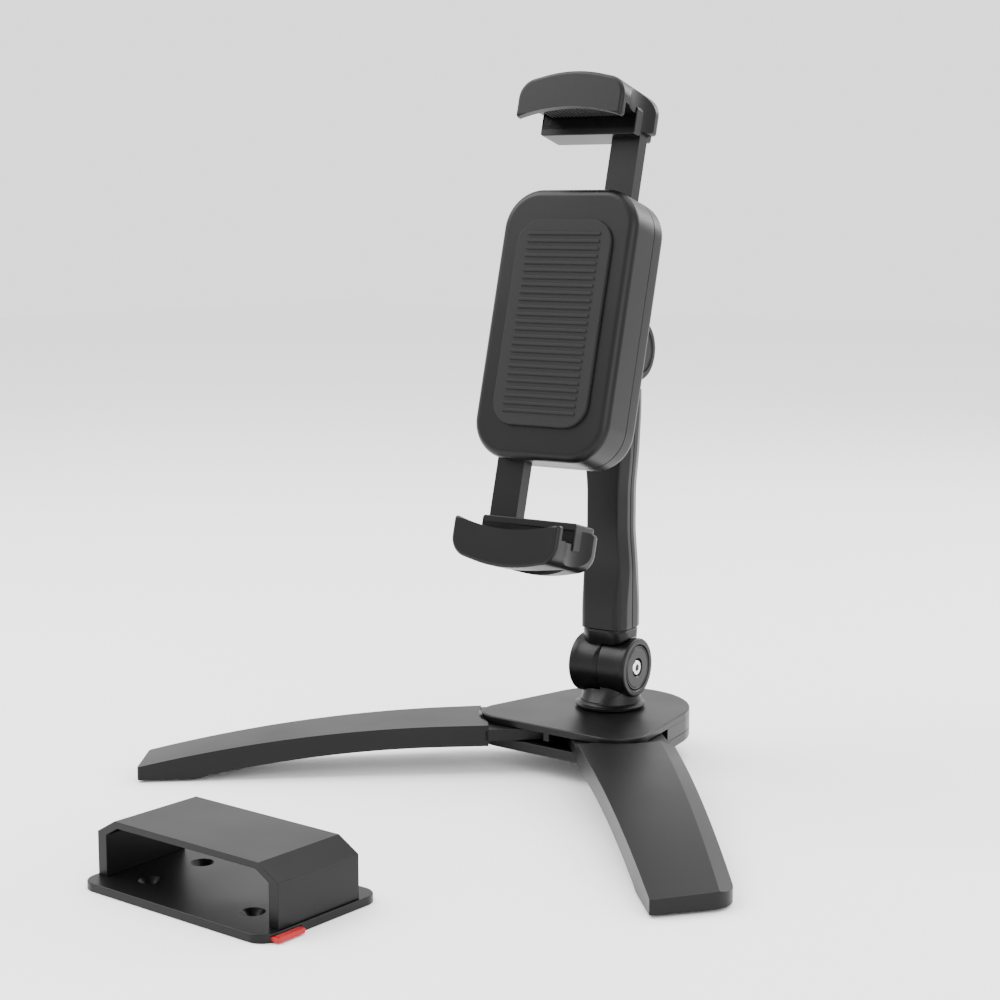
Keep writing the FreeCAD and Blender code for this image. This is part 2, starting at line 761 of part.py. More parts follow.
def draw_band(sketch, start, bend, end, level, radius, thick):
    """Strip of even thickness that runs straight and then bends down along an arc."""
    start, bend, end, level, radius, thick = [as_size(v) for v in (start, bend, end, level, radius, thick)]
    reach = end.number - bend.number
    middle = vector(bend.number, level.number - radius.number)
    runs, arcs, tips = [], [], []
    for rise in (0.0, thick.number):
        height = level.number + rise
        full = radius.number + rise
        straight = Part.LineSegment(vector(start.number, height), vector(bend.number, height))
        runs.append(sketch.addGeometry(straight))
        circle = Part.Circle(middle, FreeCAD.Vector(0, 0, 1), full)
        arcs.append(sketch.addGeometry(Part.ArcOfCircle(circle, math.acos(reach / full), math.pi / 2)))
        tips.append(middle + vector(reach, math.sqrt(full ** 2 - reach ** 2)))
    near = sketch.addGeometry(Part.LineSegment(
        vector(start.number, level.number), vector(start.number, level.number + thick.number)))
    far = sketch.addGeometry(Part.LineSegment(tips[0], tips[1]))
    for i in (0, 1):
        sketch.addConstraint([
            Sketcher.Constraint("Tangent", runs[i], 2, arcs[i], 2),
            Sketcher.Constraint("Coincident", runs[i], 1, near, i + 1),
            Sketcher.Constraint("Coincident", arcs[i], 1, far, i + 1)])
        hold_radius(sketch, arcs[i], radius + thick * i)
        hold_point(sketch, arcs[i], 3, bend, level - radius)
    index = sketch.addConstraint(Sketcher.Constraint("DistanceX", -1, 1, near, 1, start.number))
    sketch.setExpression("Constraints[%d]" % index, start.text)
    sketch.addConstraint(Sketcher.Constraint("Vertical", near))
    index = sketch.addConstraint(Sketcher.Constraint("DistanceX", -1, 1, far, 1, end.number))
    sketch.setExpression("Constraints[%d]" % index, end.text)
    sketch.addConstraint(Sketcher.Constraint("Vertical", far))


def place_leg(body, side):
    place(body, (side * s.pivot_x, -s.pivot_y, 0), (0, 0, 1), 180 + side * s.spread_angle)


def sag(along, start, radius):
    """Drop of an arc that leaves the straight run at start."""
    reach = along - start
    if reach.number <= 0:
        return as_size(0)
    return radius - root_of(radius * radius - reach * reach)


def leg_section(body, along, outer, raised):
    """Cross-section of a leg: flat top, straight inner face, bevelled outer edge."""
    taper = (s.leg_outer - s.tip_outer) / (s.leg_length - raised)
    edge = outer * (s.leg_outer - (along - raised) * taper)
    inner = -outer * s.leg_inner
    top = leg_top - sag(along, s.top_bend_start, top_bend_radius)
    low = s.foot_zone_height
    sketch = new_sketch(body, "XZ_Plane", -along)
    draw_outline(sketch, [(inner, low), (edge, low), (edge, top - s.bevel_deep),
                          (edge - outer * s.bevel_wide, top), (inner, top)])
    return sketch


def leg(side, name):
    """Arched leg. Its own frame stands on the pivot with +Y along the leg; outer is -X on the right."""
    outer = -side
    body = new_body(name + "_leg_shell")
    inner, tail = -outer * s.leg_inner, -s.leg_inner
    raised = s.hub_corner_y + s.hub_corner_radius - s.pivot_y + s.hub_clear
    curved = (s.leg_length - s.top_bend_start) / LEG_SPANS
    stations = [tail, s.top_bend_start] + [s.top_bend_start + curved * (i + 1) for i in range(LEG_SPANS)]
    loft(body, [leg_section(body, along, outer, raised) for along in stations])
    wide = s.leg_inner + s.leg_outer
    clear = leg_top + s.floor_gap
    sketch = new_sketch(body, "XY_Plane", 0)
    draw_outline(sketch, [
        (inner, tail, s.leg_inner), (inner, s.leg_length, s.claw_edge),
        (outer * s.tip_outer, s.leg_length - s.tip_slant, s.tip_corner),
        (outer * s.leg_outer, raised), (outer * s.tongue_outer, raised),
        (outer * s.tongue_outer, tail, s.tongue_corner)])
    draw_box(sketch, -wide, wide, -wide, s.leg_length + wide)
    pocket(body, sketch, clear, backwards=True)
    sketch = new_sketch(body, "YZ_Plane", -wide)
    draw_arch(sketch, -wide, s.under_bend_start, foot_zone_start, leg_under, under_bend_radius,
              -s.floor_gap)
    pocket(body, sketch, wide * 2, backwards=True)
    corner_x, corner_y = s.hub_corner_x - s.pivot_x, s.hub_corner_y - s.pivot_y
    corner_reach = root_of(corner_x * corner_x + corner_y * corner_y) + s.hub_corner_radius
    for level, upwards in ((tongue_top, True), (tongue_low, False)):
        sketch = new_sketch(body, "XY_Plane", level)
        draw_box(sketch, -wide, wide, -wide, raised)
        pocket(body, sketch, s.floor_gap, backwards=upwards)
        sketch = new_sketch(body, "XY_Plane", level)
        draw_circle(sketch, 0, 0, corner_reach + s.hub_clear)
        pocket(body, sketch, s.floor_gap, backwards=upwards)
    sketch = new_sketch(body, "XY_Plane", tongue_low)
    draw_circle(sketch, 0, 0, s.pivot_radius + s.bolt_clear)
    pocket(body, sketch, s.hub_height, backwards=True)
    margin = s.leg_inner - s.strip_margin
    far_side = s.tip_outer - s.strip_margin
    sketch = new_sketch(body, "YZ_Plane", -margin if outer > 0 else -far_side)
    draw_band(sketch, s.strip_start, s.under_bend_start, strip_end, leg_under, under_bend_radius,
              s.strip_recess)
    pocket(body, sketch, margin + far_side, backwards=True)
    pad_edges = (-outer * margin, outer * far_side) if outer > 0 else (outer * far_side, -outer * margin)
    sketch = new_sketch(body, "XY_Plane", s.foot_zone_height)
    draw_box(sketch, pad_edges[0], pad_edges[1], foot_pad_start, foot_pad_end, s.foot_pad_corner)
    pocket(body, sketch, s.pad_sink, backwards=True)
    place_leg(body, side)

    strip = new_body(name + "_leg_underside")
    play = s.cap_clear
    sketch = new_sketch(strip, "YZ_Plane", (-margin if outer > 0 else -far_side) + play)
    draw_band(sketch, s.strip_start + play, s.under_bend_start, strip_end - play, leg_under,
              under_bend_radius, s.strip_recess - s.bolt_clear)
    pad(strip, sketch, margin + far_side - play * 2)
    place_leg(strip, side)

    rubber = new_body(name + "_foot_pad")
    sketch = new_sketch(rubber, "XY_Plane")
    draw_box(sketch, pad_edges[0] + play, pad_edges[1] - play, foot_pad_start + play, foot_pad_end - play,
             s.foot_pad_corner - play)
    pad(rubber, sketch, s.foot_zone_height + s.pad_sink)
    place_leg(rubber, side)


def knuckle(label, half, base, end, axis=(0, 0, 1), angle=0):
    """Half of a hinge barrel on a neck. Own frame: hinge axis along X, neck down along -Z.

    half is +1 for the half that carries the screw head, -1 for the half with the nut. end draws
    what the neck ends in."""
    body = new_body(label)
    start = s.barrel_seam if half > 0 else -s.barrel_half
    sketch = new_sketch(body, "YZ_Plane", start)
    draw_circle(sketch, 0, 0, s.barrel_radius)
    pad(body, sketch, s.barrel_half - s.barrel_seam)
    chamfer(body, s.seam_chamfer, lambda box: True)
    low = new_sketch(body, "XY_Plane", -s.neck_start)
    draw_box(low, -s.neck_half_x, s.neck_half_x, -s.neck_half_y, s.neck_half_y, s.neck_half_y - s.bolt_clear)
    end(body, low)
    sketch = new_sketch(body, "YZ_Plane", half * s.barrel_seam)
    draw_circle(sketch, 0, 0, s.barrel_radius + s.scoop_clear)
    pocket(body, sketch, s.flange_radius + s.neck_ring, backwards=half < 0)
    sketch = new_sketch(body, "YZ_Plane", -s.flange_radius * 2)
    draw_circle(sketch, 0, 0, s.hinge_pin + s.bolt_clear)
    pocket(body, sketch, s.flange_radius * 4, backwards=True)
    sketch = new_sketch(body, "YZ_Plane", half * s.barrel_half)
    draw_circle(sketch, 0, 0, s.cap_radius + s.cap_clear)
    pocket(body, sketch, s.cap_recess, backwards=half < 0)
    sketch = new_sketch(body, "YZ_Plane", half * s.barrel_half)
    if half > 0:
        draw_circle(sketch, 0, 0, s.screw_well)
        pocket(body, sketch, s.cap_recess + s.screw_well_depth)
    else:
        draw_hexagon(sketch, s.nut_across + s.cap_clear)
        pocket(body, sketch, s.cap_recess + s.nut_thick + s.nut_play, backwards=True)
        sketch = new_sketch(body, "YZ_Plane", half * s.barrel_seam)
        draw_circle(sketch, 0, 0, s.washer_radius + s.cap_clear)
        pocket(body, sketch, s.washer_thick + s.nut_play, backwards=False)
    place(body, base, axis, angle, swivels=True)
    return body


def swivel_end(body, low):
    """Neck that widens to a round collar with a thin flange, bored for the swivel bolt."""
    top = -(neck_drop - s.flange_height)
    high = new_sketch(body, "XY_Plane", top)
    draw_box(high, -s.collar_radius, s.collar_radius, -s.collar_radius, s.collar_radius,
             s.collar_radius - s.bolt_clear)
    loft(body, [low, high])
    sketch = new_sketch(body, "XY_Plane", -neck_drop)
    draw_circle(sketch, 0, 0, s.flange_radius)
    pad(body, sketch, s.flange_height)
    sketch = new_sketch(body, "XY_Plane", -neck_drop)
    draw_circle(sketch, 0, 0, s.swivel_bolt)
    pocket(body, sketch, s.swivel_grip, backwards=True)


def arm_section(sketch, half_x, half_y, corner):
    upper = [(half_x, half_y - corner), (half_x - corner, half_y), (corner - half_x, half_y),
             (-half_x, half_y - corner)]
    draw_outline(sketch, upper + [(-x, -y) for x, y in upper])


def arm_end(body, low):
    """Neck that meets the arm at its cross seam, bored for the inner bar."""
    high = new_sketch(body, "XY_Plane", -s.neck_ring)
    draw_box(high, -s.neck_half_x, s.neck_half_x, -s.neck_half_y, s.neck_half_y, s.arm_corner)
    loft(body, [low, high])
    sketch = new_sketch(body, "XY_Plane", -s.neck_ring)
    play = s.bar_play
    draw_box(sketch, -s.bar_half_x - play, s.bar_half_x + play, -s.bar_half_y - play, s.bar_half_y + play)
    pocket(body, sketch, s.bar_sink, backwards=True)


def hinge(name, height):
    """Screw, caps, nut and washer of one tilt hinge."""
    base = (0, 0, height)
    for side, label in ((1, "hinge_cap"), (-1, "end_cap")):
        body = new_body("%s_%s" % (name, label))
        seat = s.barrel_half - s.cap_recess
        sketch = new_sketch(body, "YZ_Plane", seat if side > 0 else -seat - s.cap_thick)
        draw_circle(sketch, 0, 0, s.cap_radius)
        if side > 0:
            draw_circle(sketch, 0, 0, s.screw_well)
        pad(body, sketch, s.cap_thick)
        place(body, base, swivels=True)
    seat = s.barrel_half - s.cap_recess - s.screw_well_depth
    body = new_body(name + "_hinge_screw")
    sketch = new_sketch(body, "YZ_Plane", seat)
    draw_circle(sketch, 0, 0, s.screw_head)
    pad(body, sketch, s.screw_head_high)
    sketch = new_sketch(body, "YZ_Plane", seat)
    draw_circle(sketch, 0, 0, s.hinge_pin)
    pad(body, sketch, seat + s.barrel_half - s.cap_recess - s.cap_thick, backwards=True)
    sketch = new_sketch(body, "YZ_Plane", seat + s.screw_head_high)
    draw_hexagon(sketch, s.socket_across)
    pocket(body, sketch, s.socket_deep)
    place(body, base, swivels=True)
    body = new_body(name + "_hinge_nut")
    sketch = new_sketch(body, "YZ_Plane", -s.barrel_half + s.cap_recess)
    draw_hexagon(sketch, s.nut_across)
    draw_circle(sketch, 0, 0, s.hinge_pin + s.bolt_clear)
    pad(body, sketch, s.nut_thick)
    place(body, base, swivels=True)
    body = new_body(name + "_friction_washer")
    sketch = new_sketch(body, "YZ_Plane", -s.barrel_seam - s.washer_thick)
    draw_circle(sketch, 0, 0, s.washer_radius)
    draw_circle(sketch, 0, 0, s.washer_bore)
    pad(body, sketch, s.washer_thick)
    place(body, base, swivels=True)


def arm_loft(body, inset, cut=False):
    """Arm form between the two cross seams: flared at both ends, slimmer in the middle."""
    low = s.neck_ring + s.ring_groove
    mid = s.arm_length / 2
    stations = [(low, s.ring_half_x, s.ring_half_y), (s.arm_flare, s.arm_flare_half_x, s.arm_flare_half_y),
                (mid, s.arm_mid_half_x, s.arm_mid_half_y),
                (s.arm_length - s.arm_flare, s.arm_flare_half_x, s.arm_flare_half_y),
                (s.arm_length - low, s.ring_half_x, s.ring_half_y)]
    sketches = []
    for height, half_x, half_y in stations:
        sketch = new_sketch(body, "XY_Plane", height)
        arm_section(sketch, half_x - inset, half_y - inset, s.arm_corner)
        sketches.append(sketch)
    loft(body, sketches, cut)


def arm_shell(label, front):
    body = new_body(label)
    arm_loft(body, as_size(0))
    arm_loft(body, s.arm_wall, cut=True)
    seam = s.arm_seam if front else -s.arm_seam
    sketch = new_sketch(body, "XZ_Plane", seam)
    wide = s.ring_half_x * 2
    draw_box(sketch, -wide, wide, 0, s.arm_length)
    pocket(body, sketch, wide, backwards=not front)
    place(body, (0, 0, s.hinge_low), swivels=True)


def arm_bar():
    body = new_body("arm_bar")
    low = s.neck_ring - s.bar_sink
    sketch = new_sketch(body, "XY_Plane", low)
    draw_box(sketch, -s.bar_half_x, s.bar_half_x, -s.bar_half_y, s.bar_half_y)
    pad(body, sketch, s.arm_length - low * 2)
    place(body, (0, 0, s.hinge_low), swivels=True)


def place_head(body, turned=False):
    """Head pieces are drawn with +Z out of the screen and +Y up it; turned ones upside down."""
    lean = 90 - s.head_tilt
    if turned:
        place(body, (0, 0, hinge_high), (0, -sine(lean / 2), cosine(lean / 2)), 180, swivels=True)
    else:
        place(body, (0, 0, hinge_high), (1, 0, 0), lean, swivels=True)


def swivel_washer(label, base, axis=(0, 0, 1), angle=0):
    """Spring washer under the head of a swivel bolt, seated towards +Z."""
    body = new_body(label)
    sketch = new_sketch(body, "XY_Plane", -s.swivel_washer_thick)
    draw_circle(sketch, 0, 0, s.swivel_washer)
    draw_circle(sketch, 0, 0, s.swivel_bolt + s.bolt_clear)
    pad(body, sketch, s.swivel_washer_thick)
    place(body, base, axis, angle, swivels=True)


def swivels():
    """Bolts that hold the lower knuckle to the hub and the upper knuckle to the head."""
    grip = s.cover_plate + s.swivel_gap + s.swivel_grip + s.swivel_washer_thick
    seat = cover_under - s.swivel_washer_thick - s.swivel_head_high
    bolt("base_swivel_bolt", s.swivel_head, s.swivel_head_high, s.swivel_bolt, grip - s.bolt_clear,
         (0, 0, seat))
    swivel_washer("base_swivel_washer", (0, 0, cover_under))
    reach = neck_drop + s.swivel_gap + s.cover_plate
    turn = 270 - s.head_tilt
    lift = reach + s.swivel_washer_thick + s.swivel_head_high
    up, out = sine(s.head_tilt), -cosine(s.head_tilt)
    bolt("head_swivel_bolt", s.swivel_head, s.swivel_head_high, s.swivel_bolt, grip - s.bolt_clear,
         (0, lift * out, hinge_high + lift * up), (1, 0, 0), turn)
    swivel_washer("head_swivel_washer", (0, reach * out, hinge_high + reach * up), (1, 0, 0), turn)


def draw_head(sketch, inset):
    half_x, half_y = s.head_half_x - inset, s.head_half_y - inset
    draw_box(sketch, -half_x, half_x, -half_y, half_y, s.head_corner - inset)


def head_posts(sketch, radius):
    for side in (1, -1):
        for end in (1, -1):
            draw_circle(sketch, side * s.head_post_x, end * s.head_post_y, radius)


def head_rails(sketch):
    for side in (1, -1):
        inner, outer = side * s.rail_inner, side * (s.rail_inner + s.rail_wide)
        low, high = (inner, outer) if side > 0 else (outer, inner)
        draw_box(sketch, low, high, -s.rail_half, s.rail_half)


def head_back_cover():
    body = new_body("head_back_cover")
    sketch = new_sketch(body, "XY_Plane", s.head_back)
    draw_head(sketch, as_size(0))
    pad(body, sketch, s.head_split - s.head_back)
    fillet(body, s.head_round, flat_at(s.head_back))
    boss = neck_drop + s.swivel_gap
    low = new_sketch(body, "XY_Plane", boss)
    draw_circle(low, 0, 0, s.boss_out_radius)
    high = new_sketch(body, "XY_Plane", s.head_back + s.bolt_clear)
    draw_circle(high, 0, 0, s.boss_root_radius)
    loft(body, [low, high])
    sketch = new_sketch(body, "XY_Plane", s.head_split)
    draw_head(sketch, s.head_wall)
    floor = s.head_back + s.head_wall
    pocket(body, sketch, s.head_split - floor)
    sketch = new_sketch(body, "XY_Plane", floor)
    draw_circle(sketch, 0, 0, s.swivel_washer + s.swivel_gap)
    pocket(body, sketch, floor - boss - s.cover_plate)
    sketch = new_sketch(body, "XY_Plane", floor)
    draw_circle(sketch, 0, 0, s.swivel_bolt + s.bolt_clear)
    pocket(body, sketch, floor)
    sketch = new_sketch(body, "XY_Plane", floor - s.head_wall / 2)
    head_rails(sketch)
    pad(body, sketch, s.rack_low - s.rack_play - floor + s.head_wall / 2)
    sketch = new_sketch(body, "XY_Plane", floor - s.head_wall / 2)
    head_posts(sketch, s.head_post)
    pad(body, sketch, s.head_split - floor + s.head_wall / 2)
    sketch = new_sketch(body, "XY_Plane", s.head_back)
    head_posts(sketch, s.boss_bore + s.bolt_clear)
    pocket(body, sketch, s.head_front, backwards=True)
    sketch = new_sketch(body, "XY_Plane", s.head_back)
    head_posts(sketch, s.hub_screw_head + s.cap_clear)
    pocket(body, sketch, s.hub_screw_sink + s.cap_clear, backwards=True)
    place_head(body)


def head_front_cover():
    body = new_body("head_front_cover")
    split = s.head_split + s.barrel_seam
    sketch = new_sketch(body, "XY_Plane", split)
    draw_head(sketch, as_size(0))
    pad(body, sketch, s.head_front - split)
    fillet(body, s.head_round, flat_at(s.head_front))
    ceiling = s.head_front - s.head_wall
    sketch = new_sketch(body, "XY_Plane", split)
    draw_head(sketch, s.head_wall)
    pocket(body, sketch, ceiling - split, backwards=True)
    sketch = new_sketch(body, "XY_Plane", rack_high + s.rack_play)
    head_rails(sketch)
    draw_circle(sketch, 0, 0, s.axle_boss)
    pad(body, sketch, ceiling + s.head_wall / 4 - rack_high - s.rack_play)
    sketch = new_sketch(body, "XY_Plane", rack_high + s.rack_play)
    draw_circle(sketch, 0, 0, s.axle_radius + s.bolt_clear)
    pocket(body, sketch, ceiling - rack_high - s.rack_play, backwards=True)
    sketch = new_sketch(body, "XY_Plane", split)
    head_posts(sketch, s.head_post)
    pad(body, sketch, ceiling - split + s.head_wall / 4)
    sketch = new_sketch(body, "XY_Plane", split)
    head_posts(sketch, s.boss_bore)
    pocket(body, sketch, s.head_screw_grip, backwards=True)
    for sign in (1, -1):
        sketch = new_sketch(body, "XZ_Plane", -sign * (s.head_half_y + s.head_wall))
        x0, x1 = sorted((sign * rack_root, sign * s.rack_outer), key=lambda size: size.number)
        play = s.rack_play
        draw_box(sketch, x0 - play, x1 + play, s.rack_low - play, rack_high + play)
        pocket(body, sketch, s.head_wall * 3, backwards=sign > 0)
    sketch = new_sketch(body, "XY_Plane", s.head_front)
    draw_pad(sketch, as_size(0))
    pocket(body, sketch, s.pad_sink)
    place_head(body)


def draw_pad(sketch, play):
    draw_box(sketch, play - s.pad_half_x, s.pad_half_x - play, play - s.pad_half_y, s.pad_half_y - play,
             s.pad_corner - play)


def head_pad():
    body = new_body("head_pad")
    sketch = new_sketch(body, "XY_Plane", s.head_front - s.pad_sink)
    draw_pad(sketch, s.cap_clear)
    pad(body, sketch, s.pad_plane - s.head_front + s.pad_sink)
    fillet(body, s.pad_sink, flat_at(s.pad_plane))
    place_head(body)


def head_screws():
    solids = []
    for side in (1, -1):
        for end in (1, -1):
            parts = []
            for radius, height, lift in ((s.hub_screw_head, s.hub_screw_sink, as_size(0)),
                                         (s.boss_bore, s.head_split - s.head_back, s.hub_screw_sink)):
                level = s.head_back + s.cap_clear + lift
                x, y = side * s.head_post_x, end * s.head_post_y
                base = (x, y * sine(s.head_tilt) - level * cosine(s.head_tilt),
                        hinge_high + y * cosine(s.head_tilt) + level * sine(s.head_tilt))
                parts.append(cylinder("screw_part", radius, height, base, (1, 0, 0), 90 - s.head_tilt, True))
            screw = doc.addObject("Part::Fuse", "head_screw")
            screw.Base, screw.Tool = parts
            solids.append(screw)
    group("head_screws", solids)


def pinion_axle():
    body = new_body("pinion_axle")
    low = s.rack_low - s.rack_play
    sketch = new_sketch(body, "XY_Plane", low)
    draw_circle(sketch, 0, 0, s.axle_head_radius)
    pad(body, sketch, s.axle_head, backwards=True)
    sketch = new_sketch(body, "XY_Plane", low)
    draw_circle(sketch, 0, 0, s.axle_radius)
    pad(body, sketch, s.head_front - s.head_wall - low - s.bolt_clear)
    place_head(body)


def involute(angle):
    return math.tan(angle) - angle


def tooth_corners():
    """Half flank of one pinion tooth as (radius, half angle in degrees), root to tip."""
    pitch = pinion_radius.number
    pressure = math.radians(PRESSURE_ANGLE)
    base = pitch * math.cos(pressure)
    tip = pitch + s.tooth_module.number
    half = (math.pi * s.tooth_module.number / 2 - s.backlash.number) / 2 / pitch
    flank = []
    for i in range(FLANK_POINTS):
        radius = base + (tip - base) * i / (FLANK_POINTS - 1)
        roll = math.acos(base / radius)
        flank.append((radius, half + involute(pressure) - involute(roll)))
    return flank


def pinion():
    """Spur pinion between the two racks: a root disc with one involute tooth, repeated round it."""
    body = new_body("pinion")
    root = pinion_radius - s.rack_dedendum
    sketch = new_sketch(body, "XY_Plane", s.rack_low)
    draw_circle(sketch, 0, 0, root)
    pad(body, sketch, s.rack_thick)
    tooth = new_sketch(body, "XY_Plane", s.rack_low)
    flank = tooth_corners()
    inside = root.number - s.rack_play.number
    corners = [(inside, -flank[0][0] * math.sin(flank[0][1]))]
    corners += [(r * math.cos(a), -r * math.sin(a)) for r, a in flank]
    corners += [(r * math.cos(a), r * math.sin(a)) for r, a in reversed(flank)]
    corners += [(inside, flank[0][0] * math.sin(flank[0][1]))]
    draw_outline(tooth, corners)
    feature = pad(body, tooth, s.rack_thick)
    pattern = body.newObject("PartDesign::PolarPattern", "teeth")
    pattern.Originals = [feature]
    pattern.Axis = (tooth, ["N_Axis"])
    pattern.Angle = 360
    bind(pattern, "Occurrences", s.pinion_teeth)
    body.Tip = pattern
    sketch = new_sketch(body, "XY_Plane", s.rack_low)
    draw_circle(sketch, 0, 0, s.axle_radius + s.bolt_clear)
    pocket(body, sketch, s.rack_thick, backwards=True)
    place_head(body)


def slider(name, turned):
    """Rack bar of one claw; the lower one is the upper one turned half round."""
    body = new_body(name + "_slider")
    sketch = new_sketch(body, "XY_Plane", s.rack_low)
    draw_box(sketch, rack_root, s.rack_outer, -s.rack_inner_end, rack_end)
    pad(body, sketch, s.rack_thick)
    pitch = math.pi * s.tooth_module
    slope = math.tan(math.radians(PRESSURE_ANGLE))
    middle = pitch / 2 - s.rack_first * pitch
    half = pitch / 4 - s.backlash / 4
    tip = pinion_radius - s.rack_addendum
    tip_half = half - s.rack_addendum * slope
    root_half = half + s.rack_dedendum * slope
    sunk = rack_root + s.rack_play
    tooth = new_sketch(body, "XY_Plane", s.rack_low)
    lower = [(tip, tip_half), (rack_root, root_half), (sunk, root_half)]
    corners = [(x, middle - half_wide) for x, half_wide in lower]
    corners += [(x, middle + half_wide) for x, half_wide in reversed(lower)]
    draw_outline(tooth, corners)
    feature = pad(body, tooth, s.rack_thick)
    pattern = body.newObject("PartDesign::LinearPattern", "teeth")
    pattern.Originals = [feature]
    pattern.Direction = (tooth, ["V_Axis"])
    bind(pattern, "Length", pitch * (s.rack_teeth - 1))
    bind(pattern, "Occurrences", s.rack_teeth)
    body.Tip = pattern
    place_head(body, turned)


def claw(name, turned):
    """Hooked claw: arched lip in front of the tablet, hollowed block behind, socket for the slider."""
    body = new_body(name + "_claw")
    tip = s.tablet_half - s.lip_reach
    half = s.claw_half_x
    seat = s.tablet_half + s.claw_pad
    sketch = new_sketch(body, "XY_Plane", s.claw_back)
    draw_outline(sketch, [(half, tip, s.claw_edge), (half, claw_shoulder, s.claw_shoulder_round),
                          (0, claw_crown, s.claw_crown_round),
                          (-half, claw_shoulder, s.claw_shoulder_round), (-half, tip, s.claw_edge)])
    pad(body, sketch, lip_front - s.claw_back)
    beyond = seat.number + s.claw_heel.number
    fillet(body, s.claw_heel, lambda box: flat_at(s.claw_back)(box) and box.YMax > beyond)
    sketch = new_sketch(body, "YZ_Plane", -half * 2)
    draw_box(sketch, claw_root / 2, seat, s.claw_root_front, tablet_front + s.nut_play)
    pocket(body, sketch, half * 4, backwards=True)
    chord = half - s.claw_edge
    bow = (chord * chord + s.lip_dip * s.lip_dip) / (s.lip_dip * 2)
    sketch = new_sketch(body, "XY_Plane", lip_front + s.lip_thick)
    draw_circle(sketch, 0, tip + s.lip_dip - bow, bow)
    pocket(body, sketch, s.lip_thick * s.lip_cut)
    sketch = new_sketch(body, "XZ_Plane", -claw_root / 2)
    reach = half + s.side_scoop_radius - s.side_scoop_depth
    for side in (1, -1):
        draw_circle(sketch, side * reach, s.side_scoop_level, s.side_scoop_radius)
    pocket(body, sketch, claw_out)
    sketch = new_sketch(body, "XY_Plane", s.claw_back)
    root = s.claw_root_half
    draw_box(sketch, -root, root, claw_root, seat + s.claw_pad, s.claw_edge)
    pad(body, sketch, s.claw_root_front - s.claw_back)
    sketch = new_sketch(body, "XZ_Plane", -claw_out - s.claw_pad)
    draw_box(sketch, -s.hollow_half_x, s.hollow_half_x, s.hollow_start, s.hollow_end, s.claw_heel)
    pocket(body, sketch, s.hollow_depth + s.claw_pad, backwards=True)
    sketch = new_sketch(body, "XZ_Plane", -claw_root)
    play = s.bar_play
    draw_box(sketch, rack_root - play, s.rack_outer + play, s.rack_low - play, rack_high + play)
    pocket(body, sketch, rack_end - claw_root + play)
    place_head(body, turned)

    rubber = new_body(name + "_claw_pad")
    low = s.claw_root_front + s.claw_pad
    sketch = new_sketch(rubber, "XY_Plane", low)
    draw_box(sketch, -s.claw_pad_half, s.claw_pad_half, s.tablet_half, seat - s.nut_play)
    pad(rubber, sketch, tablet_front - low - s.cap_clear)
    place_head(rubber, turned)


def draw_sleeve(sketch, near_half, wall):
    """Section of the sleeve: flat front, bevelled shoulders, open towards the wall plate."""
    top = s.sleeve_top + wall
    low = s.plate_thick
    shoulder = s.sleeve_shoulder + wall * s.shoulder_share
    half = near_half + wall
    flat = s.sleeve_flat_half + wall * s.flat_share
    draw_outline(sketch, [(-half, low), (-half, shoulder), (-flat, top),
                          (flat, top), (half, shoulder), (half, low)])


def wall_bracket():
    base = (0, -s.bracket_rest, 0)
    body = new_body("wall_plate")
    sketch = new_sketch(body, "XY_Plane")
    low, high = -s.sleeve_length - s.plate_far, s.plate_near
    draw_box(sketch, -s.plate_half, s.plate_half, low, high, s.plate_corner)
    pad(body, sketch, s.plate_thick)
    chamfer(body, s.plate_edge, flat_at(s.plate_thick))
    sketch = new_sketch(body, "XY_Plane")
    middle = -s.sleeve_length / 2
    for side in (1, -1):
        for end in (1, -1):
            draw_circle(sketch, side * s.hole_span_x / 2, middle + end * s.hole_span_y / 2, s.hole_radius)
    pocket(body, sketch, s.plate_thick * 2, backwards=True)
    reach = s.sink_radius.number + 0.1

    inner = s.plate_half.number - s.plate_corner.number

    def hole_rim(rim):
        small = max(rim.XMax - rim.XMin, rim.YMax - rim.YMin) < 2 * reach
        return flat_at(s.plate_thick)(rim) and small and abs(rim.XMax) < inner
    chamfer(body, s.sink_radius - s.hole_radius, hole_rim)
    sketch = new_sketch(body, "YZ_Plane", s.plate_half + s.plate_near)
    draw_tab(sketch, s.tab_play)
    pocket(body, sketch, s.plate_near + s.tab_depth + s.tab_travel + s.tab_play)
    place(body, base)

    body = new_body("bracket_sleeve")
    sketch = new_sketch(body, "XZ_Plane")
    draw_sleeve(sketch, s.sleeve_near_half, s.sleeve_wall)
    pad(body, sketch, s.sleeve_length)
    ends = []
    far = s.sleeve_length + s.bolt_clear
    for level, half in ((-s.bolt_clear, s.sleeve_near_half), (far, s.sleeve_far_half)):
        end = new_sketch(body, "XZ_Plane", level)
        draw_sleeve(end, half, as_size(0))
        ends.append(end)
    loft(body, ends, cut=True)
    place(body, base)

    body = new_body("release_tab")
    sketch = new_sketch(body, "YZ_Plane", s.plate_half - s.tab_depth)
    draw_tab(sketch, as_size(0))
    pad(body, sketch, s.tab_depth + s.tab_proud)
    place(body, base)


def draw_tab(sketch, play):
    """Cross-section of the release tab at the lower corner of the wall plate."""
    far = -s.sleeve_length - s.plate_far + s.tab_from_end
    low = (s.plate_thick - s.tab_thick) / 2
    draw_box(sketch, far - play, far + s.tab_length + play, low - play / 2, low + s.tab_thick + play / 2)


